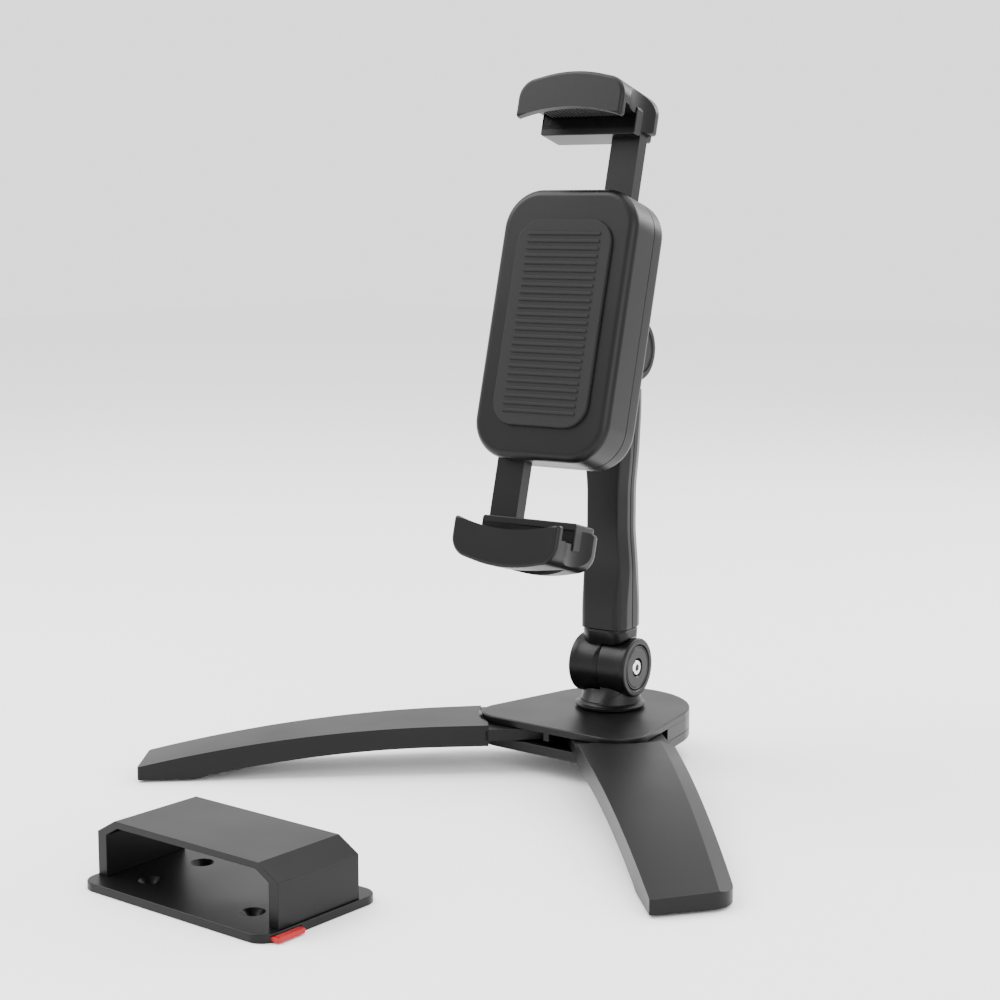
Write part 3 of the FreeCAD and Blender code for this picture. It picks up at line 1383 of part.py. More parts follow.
def build():
    hub_cover()
    hub_base()
    rear_foot()
    leg_pivot_pins()
    hub_screws()
    leg(1, "right")
    leg(-1, "left")
    knuckle("lower_knuckle", 1, (0, 0, s.hinge_low), swivel_end)
    knuckle("arm_lower_knuckle", -1, (0, 0, s.hinge_low), arm_end, (1, 0, 0), 180)
    knuckle("arm_upper_knuckle", -1, (0, 0, hinge_high), arm_end)
    knuckle("upper_knuckle", 1, (0, 0, hinge_high), swivel_end, (1, 0, 0), 270 - s.head_tilt)
    hinge("lower", s.hinge_low)
    hinge("upper", hinge_high)
    arm_shell("arm_front_shell", True)
    arm_shell("arm_back_shell", False)
    arm_bar()
    swivels()
    head_back_cover()
    head_front_cover()
    head_pad()
    head_screws()
    pinion_axle()
    pinion()
    for name, turned in (("upper", False), ("lower", True)):
        slider(name, turned)
        claw(name, turned)
    wall_bracket()
    put_in_place()


def check():
    """Every object has to be sound before anything is written."""
    doc.recompute()
    for thing in doc.Objects:
        if "Invalid" in thing.State or "Error" in thing.State:
            raise RuntimeError("%s failed" % thing.Label)
    for piece in pieces:
        if piece.Shape.isNull() or not piece.Shape.isValid() or not piece.Shape.Solids:
            raise RuntimeError("%s has no sound solid" % piece.Label)


def export():
    os.makedirs("parts", exist_ok=True)
    for piece in pieces:
        piece.Shape.exportStep("parts/%s.step" % piece.Label)


build()
check()
export()
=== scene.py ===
import json
import math

import bmesh
import bpy
from mathutils import Matrix, Vector


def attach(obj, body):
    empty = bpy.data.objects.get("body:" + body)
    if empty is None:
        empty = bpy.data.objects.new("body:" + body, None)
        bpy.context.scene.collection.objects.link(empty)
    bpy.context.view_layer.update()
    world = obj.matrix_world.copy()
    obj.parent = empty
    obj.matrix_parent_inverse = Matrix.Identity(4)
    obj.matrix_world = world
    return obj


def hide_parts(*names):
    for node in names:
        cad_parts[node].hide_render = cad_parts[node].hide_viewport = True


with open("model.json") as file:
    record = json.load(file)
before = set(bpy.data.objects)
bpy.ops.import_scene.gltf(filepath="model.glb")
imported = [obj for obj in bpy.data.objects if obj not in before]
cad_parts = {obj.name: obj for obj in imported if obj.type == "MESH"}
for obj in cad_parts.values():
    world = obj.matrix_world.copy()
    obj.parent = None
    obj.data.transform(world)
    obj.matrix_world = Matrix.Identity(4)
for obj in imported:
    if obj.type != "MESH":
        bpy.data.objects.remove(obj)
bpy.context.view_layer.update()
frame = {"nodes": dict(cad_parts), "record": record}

# Everything below is drawn in millimetres in the frame of its own piece, then put in place.
MM = 0.001
ROUND = 96     # segments of a full circle
HERE = Matrix.Identity(4)

HEAD_TILT = 15.5         # degrees that the screen leans back
HEAD_YAW = 5.0           # degrees that the arm is turned on the hub
LEG_SPREAD = 46.0        # degrees from a folded to a spread leg
LOW_HINGE = 40.0         # heights of the two hinge axes over the floor
HIGH_HINGE = 174.0
PIVOT_X, PIVOT_Y = 20, -27     # places of the legs' pivots
BRACKET_Y = -206         # near end of the bracket's sleeve

# Hub
HUB = [(0, 2, 32.8), (26.5, -32.5, 13.5), (-26.5, -32.5, 13.5)]     # circles that its outline goes round
HUB_LOW, HUB_SEAM, COVER_LOW, HUB_TOP = 9, 13.5, 19, 22
HUB_WALL = 2.4
HUB_SCREWS = [(side * x, y) for side in (1, -1) for x, y in ((16, 22), (25, 8))]
FOOT_X, FOOT_Y0, FOOT_Y1, FOOT_CORNER = 12, -8, 32, 8               # block that carries the rear foot

# Legs
LEG_INNER = 18           # flat side, from the line of the leg's pivot
LEG_OUTER = 22           # outer side beside the hub
TIP_OUTER, TIP_AT = 12.5, 161
LEG_NEAR, LEG_FAR = 21, 170
HUB_ROOM = 24.02         # radius of the hollow that goes round the hub's corner
TOP_FLAT, TOP_BEND_AT, TOP_BEND = 20.5, 35, 608
UNDER_FLAT, UNDER_BEND_AT, UNDER_BEND = 11.7, 40, 497
FOOT_AT, FOOT_BLEND, FOOT_RISE = 134, 8, 1.0
EDGE_WIDE, EDGE_DEEP = 6, 2.4                                       # bevel along the outer top edge
STRIP_INNER, STRIP_OUTER, STRIP_NEAR, STRIP_LONG = 14, 8.5, 30, 102

# Hinges
SEAM = 0.1               # half the gap between the two barrels of a hinge
CAP_SEAT = 12.3          # from the middle of a hinge to the seat of a cap
SCOOP = 12.9             # radius of the room for the other barrel
BOLT_BORE = 4.1
FLANGE_LOW = 17.6        # from the hinge axis to the foot of a swivel knuckle
PROUD = 1.085            # how much wider the proud part of a swivel knuckle's neck is

# Arm
ARM_LOW, ARM_LONG = 16.7, 100.6
ARM_MIDDLE = (HIGH_HINGE - LOW_HINGE) / 2

# Head
CASE_X, CASE_Y, CASE_CORNER, CASE_WALL = 31, 55, 16, 2.5
CASE_BACK, CASE_SEAM, CASE_FRONT = 24, 33, 49
PAD_X, PAD_Y, PAD_CORNER = 22, 42, 10
PAD_PLAY = 0.15
HEAD_SCREWS = [(x, y) for x in (26.3, -26.3) for y in (34, -34)]
SCREW_SINK = 2.95        # radius of the holes that sink the screw heads

# Claws
CLAW_X, CLAW_INNER, CLAW_SIDE, CLAW_CROWN = 24.4, 80.55, 95.2, 100.6
CLAW_BACK, LIP_FRONT = 29, 61.6
GRIP_BACK, GRIP_FRONT, GRIP_Y = 45, 58.45, 86.25                    # slot that holds the tablet's edge
SCOOP_X, SCOOP_ROUND = 41.4, 20                                     # hollows that narrow the block's sides
LENS_X, LENS_Z, LENS_HALF = 19, 44, 8                               # dent for the thumb

# Bracket
PLATE_X, PLATE_Y0, PLATE_Y1, PLATE_THICK = 45, -46, 10, 3
PLATE_HOLES = [(x, y) for x in (-25, 25) for y in (-31, -7)]
SLEEVE_LONG = 38
TAB_Y0, TAB_Y1 = -42, -29


def turn(axis, degrees):
    return Matrix.Rotation(math.radians(degrees), 4, axis)


def turn_to(direction):
    """A turn that puts the X axis along a direction."""
    return direction.to_track_quat("X", "Z").to_matrix().to_4x4()


def shift(x, y, z):
    return Matrix.Translation((x, y, z))


def ease(value):
    """Smooth step from 0 to 1."""
    share = min(1, max(0, value))
    return share * share * (3 - 2 * share)


AT_LEG = {side: shift(side * PIVOT_X, PIVOT_Y, 0) @ turn("Z", 180 + side * LEG_SPREAD) for side in (1, -1)}
AT_LOW = turn("Z", HEAD_YAW) @ shift(0, 0, LOW_HINGE)
AT_HIGH = turn("Z", HEAD_YAW) @ shift(0, 0, HIGH_HINGE)
AT_NECK = AT_HIGH @ turn("X", 270 - HEAD_TILT)
AT_HEAD = AT_HIGH @ turn("X", 90 - HEAD_TILT)
AT_BRACKET = shift(0, BRACKET_Y, 0)


# Shapes
def corner_arc(before, at, after, radius, steps):
    """Points that round one corner of an outline."""
    back = (before - at).normalized()
    ahead = (after - at).normalized()
    half = 0.5 * back.angle(ahead)
    if radius < 1e-3 or abs(half - math.pi / 2) < 1e-3:
        return [at] * (steps + 1)
    reach = radius / math.tan(half)
    middle = at + (back + ahead).normalized() * (radius / math.sin(half))
    first, last = at + back * reach - middle, at + ahead * reach - middle
    sweep = first.angle(last)
    sign = 1 if first.x * last.y - first.y * last.x > 0 else -1
    points = []
    for i in range(steps + 1):
        a = sign * sweep * i / steps
        points.append(middle + Vector((first.x * math.cos(a) - first.y * math.sin(a),
                                       first.x * math.sin(a) + first.y * math.cos(a))))
    return points


def outline(corners, inset=0.0, steps=8):
    """Closed outline through corners of (x, y, radius), taken anticlockwise and moved inwards by the inset."""
    count = len(corners)
    points = [Vector(c[:2]) for c in corners]
    area = sum(points[i - 1].x * points[i].y - points[i].x * points[i - 1].y for i in range(count))
    if area < 0:
        corners, points = corners[::-1], points[::-1]
    moved = []
    for i in range(count):
        back = (points[i] - points[i - 1]).normalized()
        ahead = (points[(i + 1) % count] - points[i]).normalized()
        in_back, in_ahead = Vector((-back.y, back.x)), Vector((-ahead.y, ahead.x))
        bisector = in_back + in_ahead
        moved.append(points[i] + bisector * (inset * 2 / bisector.length_squared))
    result = []
    for i in range(count):
        convex = (points[i] - points[i - 1]).cross(points[(i + 1) % count] - points[i]) > 0
        radius = corners[i][2] - inset if convex else corners[i][2] + inset
        radius = max(radius, 0.02) if corners[i][2] > 0 else 0
        result += corner_arc(moved[i - 1], moved[i], moved[(i + 1) % count], radius, steps)
    return result


def box_corners(x0, x1, y0, y1, radius):
    return [(x0, y0, radius), (x1, y0, radius), (x1, y1, radius), (x0, y1, radius)]


def soft(low, high, under=0.0, over=0.0, steps=4):
    """Levels (z, inset) of a slab whose lower and upper edges are rounded."""
    quarter = [math.pi / 2 * i / steps for i in range(steps + 1)]
    bottom, top = [(low, 0)], [(high, 0)]
    if under:
        bottom = [(low + under * (1 - math.sin(a)), under * (1 - math.cos(a))) for a in quarter[::-1]]
    if over:
        top = [(high - over * (1 - math.sin(a)), over * (1 - math.cos(a))) for a in quarter]
    return bottom + top


def stack(rings):
    """Faces between rings of equal counts, with flat ends."""
    count = len(rings[0])
    points = [tuple(p) for ring in rings for p in ring]
    faces = []
    for r in range(len(rings) - 1):
        for i in range(count):
            j = (i + 1) % count
            faces.append((r * count + i, r * count + j, (r + 1) * count + j, (r + 1) * count + i))
    faces.append(tuple(range(count))[::-1])
    faces.append(tuple((len(rings) - 1) * count + i for i in range(count)))
    return points, faces


def slab(corners, levels, steps=8):
    """A plate of one outline whose edges follow the levels."""
    return stack([[(p.x, p.y, z) for p in outline(corners, inset, steps)] for z, inset in levels])


def block(x0, x1, y0, y1, z0, z1):
    return slab(box_corners(x0, x1, y0, y1, 0), [(z0, 0), (z1, 0)], 1)


def lathe(profile, steps=None, whole=True):
    """A turned shape about Z from (radius, height) pairs; whole profiles close on themselves."""
    steps = steps or ROUND
    points, rows = [], []
    for radius, height in profile:
        if radius < 1e-6:
            rows.append([len(points)] * steps)
            points.append((0, 0, height))
            continue
        rows.append(list(range(len(points), len(points) + steps)))
        for i in range(steps):
            a = 2 * math.pi * i / steps
            points.append((radius * math.cos(a), radius * math.sin(a), height))
    faces = []
    pairs = list(zip(rows, rows[1:]))
    if whole and profile[0][0] > 1e-6:
        pairs.append((rows[-1], rows[0]))
    for a, b in pairs:
        for i in range(steps):
            j = (i + 1) % steps
            face = [a[i], a[j], b[j], b[i]]
            face = [v for k, v in enumerate(face) if v not in face[:k]]
            if len(face) > 2:
                faces.append(tuple(face))
    return points, faces


def rod(radius, low, high, steps=None):
    """A plain cylinder about Z."""
    return lathe([(0, low), (radius, low), (radius, high), (0, high)], steps, whole=False)


def moved(shape, matrix):
    return [tuple(matrix @ Vector(p)) for p in shape[0]], shape[1]


def to_x(shape):
    """Turns a shape from the Z axis to the X axis."""
    return moved(shape, turn("Y", 90))


# Mesh objects
def solid(name, shape, at=HERE):
    """A mesh object at the origin with its place in its points, every face turned outwards."""
    mesh = bpy.data.meshes.new(name)
    mesh.from_pydata([at @ Vector(p) * MM for p in shape[0]], [], shape[1])
    form = bmesh.new()
    form.from_mesh(mesh)
    bmesh.ops.remove_doubles(form, verts=form.verts, dist=2e-7)
    bmesh.ops.recalc_face_normals(form, faces=form.faces)
    form.to_mesh(mesh)
    form.free()
    thing = bpy.data.objects.new(name, mesh)
    bpy.context.scene.collection.objects.link(thing)
    return thing


def bake(thing):
    """Puts the modifiers into the mesh."""
    graph = bpy.context.evaluated_depsgraph_get()
    mesh = bpy.data.meshes.new_from_object(thing.evaluated_get(graph))
    thing.modifiers.clear()
    thing.data = mesh


def cut(thing, *tools, operation="DIFFERENCE"):
    for tool in tools:
        step = thing.modifiers.new("cut", "BOOLEAN")
        step.operation = operation
        step.solver = "EXACT"
        step.object = tool
        bake(thing)
        bpy.data.objects.remove(tool)


def bevel(thing, width, angle=25, steps=3):
    step = thing.modifiers.new("bevel", "BEVEL")
    step.width = width * MM
    step.segments = steps
    step.limit_method = "ANGLE"
    step.angle_limit = math.radians(angle)
    step.miter_outer = "MITER_ARC"
    bake(thing)
    return thing


def joined(name, *things):
    """One object out of several."""
    form = bmesh.new()
    for thing in things:
        form.from_mesh(thing.data)
    mesh = bpy.data.meshes.new(name)
    form.to_mesh(mesh)
    form.free()
    for thing in things:
        bpy.data.objects.remove(thing)
    result = bpy.data.objects.new(name, mesh)
    bpy.context.scene.collection.objects.link(result)
    return result


# Materials
CLOUD = 38               # millimetres across a cloudy patch in moulded plastic
GLOSS_SPREAD = 0.03      # roughness lost or gained over such a patch
TOOL_LINE = 0.25         # millimetres between the lines of a cutting tool


def tone(hex_code):
    """An sRGB hex colour as the linear values that a shader takes."""
    channels = [int(hex_code[i:i + 2], 16) / 255 for i in (0, 2, 4)]
    return [c / 12.92 if c <= 0.04045 else ((c + 0.055) / 1.055) ** 2.4 for c in channels] + [1.0]


def add(tree, kind, values=None, **settings):
    """Adds a node, sets its fields and fills or links its inputs."""
    made = tree.nodes.new(kind)
    for name, value in settings.items():
        setattr(made, name, value)
    for name, value in (values or {}).items():
        if isinstance(value, bpy.types.NodeSocket):
            tree.links.new(value, made.inputs[name])
        else:
            made.inputs[name].default_value = value
    return made


def new_material(name):
    material = bpy.data.materials.new(name)
    material.use_nodes = True
    tree = material.node_tree
    tree.nodes.clear()
    return material, tree


def grain(tree, size_mm, detail=2.0, stretch=None):
    """Noise whose grains are about size_mm across, fixed to the piece; stretch draws them out along an axis."""
    place = add(tree, "ShaderNodeTexCoord").outputs["Object"]
    if stretch:
        place = add(tree, "ShaderNodeMapping", {"Vector": place, "Scale": stretch}).outputs["Vector"]
    values = {"Vector": place, "Scale": 1000 / size_mm, "Detail": detail}
    return add(tree, "ShaderNodeTexNoise", values).outputs["Fac"]


def between(tree, factor, low, high):
    """Maps a 0.3 to 0.7 noise onto low to high."""
    return add(tree, "ShaderNodeMapRange", {
        "Value": factor, "From Min": 0.3, "From Max": 0.7, "To Min": low, "To Max": high}).outputs["Result"]


def blend(tree, factor, colour, other):
    """Mixes two hex colours; the colour sockets of this node are its inputs 6 and 7 and its output 2."""
    made = add(tree, "ShaderNodeMix", {"Factor": factor}, data_type="RGBA")
    made.inputs[6].default_value = tone(colour)
    made.inputs[7].default_value = tone(other)
    return made.outputs[2]


def moulded(name, colour, light, rough, grain_mm, grain_deep_mm, specular=0.5):
    """Injection moulded plastic: spark-eroded grain from the mould, a faint cloudiness in colour and gloss."""
    material, tree = new_material(name)
    cloud = grain(tree, CLOUD)
    fine = grain(tree, grain_mm, 3.0)
    shade = blend(tree, between(tree, cloud, 0.0, 1.0), colour, light)
    bump = add(tree, "ShaderNodeBump", {"Height": fine, "Distance": grain_deep_mm * MM, "Strength": 0.6})
    shader = add(tree, "ShaderNodeBsdfPrincipled", {
        "Base Color": shade, "Roughness": between(tree, cloud, rough - GLOSS_SPREAD, rough + GLOSS_SPREAD),
        "Normal": bump.outputs["Normal"], "Specular IOR Level": specular})
    add(tree, "ShaderNodeOutputMaterial", {"Surface": shader.outputs["BSDF"]})
    return material


def turned_metal(name, colour, light, rough, axis):
    """Machined or rolled metal: fine lines left round the axis by the tool, seen as a streaked gloss."""
    material, tree = new_material(name)
    lines = grain(tree, TOOL_LINE, 2.0, stretch=[1.0 if letter == axis else 0.06 for letter in "xyz"])
    bump = add(tree, "ShaderNodeBump", {"Height": lines, "Distance": 0.008 * MM, "Strength": 0.5})
    shader = add(tree, "ShaderNodeBsdfPrincipled", {
        "Base Color": blend(tree, between(tree, lines, 0.0, 1.0), colour, light), "Metallic": 1.0,
        "Roughness": between(tree, lines, rough - 0.05, rough + 0.08), "Normal": bump.outputs["Normal"]})
    add(tree, "ShaderNodeOutputMaterial", {"Surface": shader.outputs["BSDF"]})
    return material


# The big mouldings: charcoal ABS from a fine-etched mould, soft sheen that spreads over every flat
shell_plastic = moulded("abs_charcoal_etched", "070606", "0b0a0a", 0.37, 0.34, 0.012, specular=0.2)
# Covers, sliders and caps: a shade darker and a little glossier, so that seams between pieces read
inner_plastic = moulded("abs_black_fine", "050505", "090908", 0.31, 0.25, 0.006, specular=0.2)
# Soft feet and grip pads: dull moulded rubber that swallows highlights
soft_rubber = moulded("rubber_black_moulded", "101011", "171717", 0.78, 0.5, 0.03, specular=0.3)
# Release tab: the one bright piece, smooth moulded red ABS
red_plastic = moulded("abs_red_smooth", "8e0a10", "9a0e13", 0.34, 0.6, 0.006, specular=0.3)
# Pinion: unpainted acetal, milky and slippery
white_plastic = moulded("acetal_white_natural", "e3e2dc", "ebeae6", 0.38, 0.4, 0.005)
# Hinge screw and nut: nickel-plated steel, the bright dot in the dark hinge
bright_steel = turned_metal("steel_nickel_plated", "c9cbcd", "dcdddf", 0.2, "x")
# Cover screws and swivel bolts: black-oxide steel
black_steel = turned_metal("steel_black_oxide", "2b2b2d", "37373a", 0.36, "z")
# Spring washers: bare rolled spring steel
spring_steel = turned_metal("steel_spring_rolled", "85868a", "96979b", 0.3, "z")
# Bar inside the arm: extruded aluminium, mill finish
mill_alloy = turned_metal("aluminium_extruded", "b4b6b9", "c4c6c8", 0.32, "z")

MATERIALS = {
    "black_plastic": shell_plastic, "black_plastic_fine": inner_plastic, "rubber": soft_rubber,
    "steel": bright_steel, "black_steel": black_steel, "spring_steel": spring_steel, "alloy": mill_alloy,
    "white_acetal": white_plastic, "red_plastic": red_plastic}
for subpart in frame["record"]["subparts"]:
    node = frame["nodes"][subpart["node"]]
    node.data.materials.clear()
    node.data.materials.append(MATERIALS[subpart["material_slot"]])


def part(thing, body, nodes, slot, sharp=35):
    """Finishes a visual piece: shading, material, the body it moves with and the CAD nodes it stands for."""
    thing.data.shade_smooth()
    thing.data.set_sharp_from_angle(angle=math.radians(sharp))
    step = thing.modifiers.new("flats", "WEIGHTED_NORMAL")
    step.keep_sharp = True
    bake(thing)
    thing.data.materials.clear()
    thing.data.materials.append(MATERIALS[slot])
    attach(thing, body)
    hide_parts(*nodes)


# Repeating things
def repeat_group():
    """Node group that sets a copy of an item on every point, as one mesh of one finish."""
    group = bpy.data.node_groups.new("repeat_on_points", "GeometryNodeTree")
    names = {}
    kinds = (("Points", "NodeSocketGeometry"), ("Item", "NodeSocketObject"), ("Finish", "NodeSocketMaterial"))
    for label, kind in kinds:
        names[label] = group.interface.new_socket(label, in_out="INPUT", socket_type=kind).identifier
    group.interface.new_socket("Copies", in_out="OUTPUT", socket_type="NodeSocketGeometry")
    given = group.nodes.new("NodeGroupInput")
    item = add(group, "GeometryNodeObjectInfo", {"Object": given.outputs["Item"]})
    copies = add(group, "GeometryNodeInstanceOnPoints", {
        "Points": given.outputs["Points"], "Instance": item.outputs["Geometry"]})
    real = add(group, "GeometryNodeRealizeInstances", {"Geometry": copies.outputs["Instances"]})
    coated = add(group, "GeometryNodeSetMaterial", {
        "Geometry": real.outputs["Geometry"], "Material": given.outputs["Finish"]})
    add(group, "NodeGroupOutput", {"Copies": coated.outputs["Geometry"]})
    return group, names


REPEAT, REPEAT_INPUTS = repeat_group()


def repeat(name, shape, spots, at, slot):
    """Equal copies of one shape at several spots, by geometry nodes, then put in place as one mesh."""
    item = solid(name + "_item", shape)
    mesh = bpy.data.meshes.new(name)
    mesh.from_pydata([Vector(spot) * MM for spot in spots], [], [])
    thing = bpy.data.objects.new(name, mesh)
    bpy.context.scene.collection.objects.link(thing)
    step = thing.modifiers.new("repeat", "NODES")
    step.node_group = REPEAT
    step[REPEAT_INPUTS["Item"]] = item
    step[REPEAT_INPUTS["Finish"]] = MATERIALS[slot]
    bake(thing)
    bpy.data.objects.remove(item)
    there = at.copy()
    there.translation *= MM
    thing.data.transform(there)
    return thing


def screw(length):
    """Cross-head screw with its head at the bottom."""
    head, high, shank, slot_half = 2.8, 1.2, 1.3, 0.28
    turned = [(0, 0), (head - 0.4, 0), (head, 0.35), (head, high), (shank, high), (shank, high + length),
              (0, high + length)]
    thing = solid("screw", lathe(turned, 32, whole=False))
    cut(thing, solid("slot", block(-1.5, 1.5, -slot_half, slot_half, -1, 0.7)),
        solid("slot", block(-slot_half, slot_half, -1.5, 1.5, -1, 0.7)))
    shape = ([tuple(v.co / MM) for v in thing.data.vertices], [tuple(p.vertices) for p in thing.data.polygons])
    bpy.data.objects.remove(thing)
    return shape


# Hub
def hub_outline(inset, steps=144):
    """Outline round the circles of the hub, like a belt, moved inwards."""
    points = []
    for i in range(steps):
        a = 2 * math.pi * i / steps
        x, y, r = max(HUB, key=lambda c: c[0] * math.cos(a) + c[1] * math.sin(a) + c[2])
        points.append((x + (r - inset) * math.cos(a), y + (r - inset) * math.sin(a)))
    return points


def hub_slab(levels):
    return stack([[(x, y, z) for x, y in hub_outline(inset)] for z, inset in levels])


def rear_foot_corners(play):
    return box_corners(-FOOT_X + play, FOOT_X - play, FOOT_Y0 + play, FOOT_Y1 - play, FOOT_CORNER - play)


def build_hub():
    skirt_low, skirt_high = HUB_SEAM, COVER_LOW + 0.2
    top = solid("top", hub_slab(soft(COVER_LOW, HUB_TOP, 0.3, 0.7)))
    skirt = solid("skirt", hub_slab([(skirt_low, 0), (skirt_high, 0)]))
    cut(skirt, solid("inside", hub_slab([(skirt_low - 1, HUB_WALL), (skirt_high + 1, HUB_WALL)])),
        solid("front", block(-60, 60, -60, -9, skirt_low - 2, skirt_high + 2)))
    bevel(skirt, 0.35)
    post = bevel(solid("post", block(-1.5, 1.5, -45.2, -42.2, 15.5, 19.4)), 0.35)
    part(joined("hub_top_cover", top, skirt, post), "hub", ["hub_cover"], "black_plastic")

    floor = solid("floor", hub_slab(soft(HUB_LOW, HUB_SEAM, 1.4, 0.3, 5)))
    cut(floor, solid("inside", hub_slab([(11.5, HUB_WALL), (15, HUB_WALL)])))
    bosses = [solid("boss", rod(6, 11, HUB_SEAM), shift(side * PIVOT_X, PIVOT_Y, 0)) for side in (1, -1)]
    foot = solid("foot_block", slab(rear_foot_corners(0), soft(2, 9.6, 0.5, 0)))
    cut(foot, solid("recess", slab(rear_foot_corners(1.2), [(1, 0), (3, 0)])))
    lower = joined("hub_lower_shell", floor, foot, *bosses)
    for x, y in HUB_SCREWS:
        cut(lower, solid("sink", rod(SCREW_SINK, 8, 10.2), shift(x, y, 0)))
    part(lower, "hub", ["hub_base"], "black_plastic")
    pad = slab(rear_foot_corners(1.35), soft(0, 3, 0.7, 0.1))
    part(solid("rear_foot_rubber", pad), "hub", ["rear_foot"], "rubber")
    spots = [(x, y, HUB_LOW) for x, y in HUB_SCREWS]
    screws = repeat("hub_cover_screws", screw(4.5), spots, HERE, "black_steel")
    part(screws, "hub", ["hub_screws"], "black_steel")


# Legs
def leg_outer(along):
    return LEG_OUTER - (along - LEG_NEAR) * (LEG_OUTER - TIP_OUTER) / (TIP_AT - LEG_NEAR)


def leg_top(along):
    reach = max(0, along - TOP_BEND_AT)
    return TOP_FLAT - TOP_BEND + math.sqrt(TOP_BEND ** 2 - reach ** 2)


def leg_under(along):
    """Underside: flat, then an arch, then down to the foot."""
    reach = max(0, min(along, FOOT_AT) - UNDER_BEND_AT)
    arch = UNDER_FLAT - UNDER_BEND + math.sqrt(UNDER_BEND ** 2 - reach ** 2)
    return arch + (FOOT_RISE - arch) * ease((along - FOOT_AT) / FOOT_BLEND)


def leg_begin(across):
    return max(LEG_NEAR, math.sqrt(max(0, HUB_ROOM ** 2 - across ** 2)))


def leg_arch(side):
    """Raised part of a leg: flat top, bevelled outer edge, open recess for the strip below."""
    outer, at = -side, AT_LEG[side]
    spans, past = 48, LEG_INNER + 1
    rings = []
    for i in range(spans + 1):
        t = i / spans
        edge = leg_outer(LEG_NEAR + (LEG_FAR - LEG_NEAR) * t)
        low = [(across, leg_under) for across in (-past, -12, -6, 0, 6, edge - 5, edge)]
        top = [(across, leg_top) for across in (edge - EDGE_WIDE, 6, 0, -6, -12, -past)]
        ring = []
        for across, level in low + [(edge, lambda y: leg_top(y) - EDGE_DEEP)] + top:
            y = leg_begin(across) + (LEG_FAR - leg_begin(across)) * t
            ring.append((outer * across, y, level(y)))
        rings.append(ring)
    raised = solid("raised", stack(rings), at)
    plan = [(-outer * LEG_INNER, 15, 0), (-outer * LEG_INNER, 165, 1.0), (outer * TIP_OUTER, TIP_AT, 10),
            (outer * 22.8, 15, 0)]
    cut(raised, solid("plan", slab(plan, [(-5, 0), (40, 0)], 12), at), operation="INTERSECT")
    bevel(raised, 0.55, 18, 3)
    x0, x1 = sorted((-outer * STRIP_INNER, outer * STRIP_OUTER))
    recess = []
    for i in range(25):
        y = STRIP_NEAR + STRIP_LONG * i / 24
        low, high = leg_under(y) - 2, leg_under(y) + 2
        recess.append([(x0, y, low), (x1, y, low), (x1, y, high), (x0, y, high)])
    cut(raised, solid("recess", stack(recess), at))
    return raised


def build_leg(side, name):
    outer, at = -side, AT_LEG[side]
    raised = leg_arch(side)
    plan = [(-outer * LEG_INNER, -18, 17.9), (-outer * LEG_INNER, 22.5, 0.1), (outer * 20.5, 22.5, 0.1),
            (outer * 20.5, -18, 13)]
    tongue = solid("tongue", slab(plan, soft(13.75, 18.75, 0.4, 0.4)), at)
    cut(tongue, solid("bore", rod(3.06, 5, 25), at))
    part(joined(name + "_leg_arch", raised, tongue), name + "_leg", [name + "_leg_shell"], "black_plastic", 40)
    x0, x1 = sorted((-outer * STRIP_INNER, outer * STRIP_OUTER))
    foot = slab(box_corners(x0 + 0.2, x1 - 0.2, 142.2, 156.8, 3.8), soft(0, 1.95, 0.5, 0.1))
    part(solid(name + "_foot_rubber", foot, at), name + "_leg", [name + "_foot_pad"], "rubber")


# Hinges, drawn with the hinge axis along X and the neck down along -Z
def barrel_half(half, at):
    """Turned half of a hinge; the +X half seats the screw head, the other one the washer and the nut."""
    if half > 0:
        face, well = [(2.6, SEAM)], [(3.75, CAP_SEAT), (3.75, 11.1), (2.6, 11.1)]
    else:
        face, well = [(2.6, 0.65), (9.15, 0.65), (9.15, SEAM)], [(4.7, CAP_SEAT), (4.7, 8.25), (2.6, 8.25)]
    waist = [(11.6, SEAM), (12.0, 0.5), (12.0, 6), (12.04, 8), (12.14, 9.6), (12.3, 10.7), (12.46, 11.3)]
    quarter = [math.pi / 10 * i for i in range(6)]
    rim = [(11.6 + 0.9 * math.cos(a), 12.6 + 0.9 * math.sin(a)) for a in quarter]
    recess = [(10.05, 13.5), (9.75, 13.2), (9.75, CAP_SEAT)]
    profile = face + waist + rim + recess + well
    barrel = solid("barrel", to_x(lathe([(r, half * x) for r, x in profile])), at)
    if half < 0:
        # Shallow crescent along the seam, on the side that faces the front
        front = 1 if (at.to_3x3() @ Vector((0, 1, 0))).y < 0 else -1
        crescent = []
        for x in (-3, 1):
            inner = [(x, front * (math.sqrt(180 - z * z) - 1.42 - 0.42 * (x + 2.3)), z) for z in range(-11, 12)]
            crescent.append(inner + [(x, front * 22, 11), (x, front * 22, -11)])
        cut(barrel, solid("crescent", stack(crescent), at))
        bevel(barrel, 0.2, 20, 2)
    return barrel


def neck_rings(swivel):
    """Sections of a neck from the barrel down to its foot: round on a swivel, as wide as the arm otherwise."""
    top, deep = 6, 8.4 if swivel else 7.0
    start = outline(box_corners(-11.3, 11.3, -deep, deep, deep - 0.05), 0, 16)
    if swivel:
        end, low = outline(box_corners(-13, 13, -13, 13, 12.98), 0, 16), 16.0
        steps = [(i / 20, max(0, (i / 20 - 0.25) / 0.75) ** 1.3, 1) for i in range(21)]
    else:
        end, low = outline(box_corners(-10.4, 10.4, -9.6, 9.6, 6.5), 0, 16), 16.4
        steps = [(t, ease(t), 1) for t in [i / 10 for i in range(10)] + [0.93]]
        steps += [(t, ease(t), 0.98) for t in (0.945, 1)]
    return [[(size * (a.x + (b.x - a.x) * share), size * (a.y + (b.y - a.y) * share), -top - (low - top) * t)
             for a, b in zip(start, end)] for t, share, size in steps]


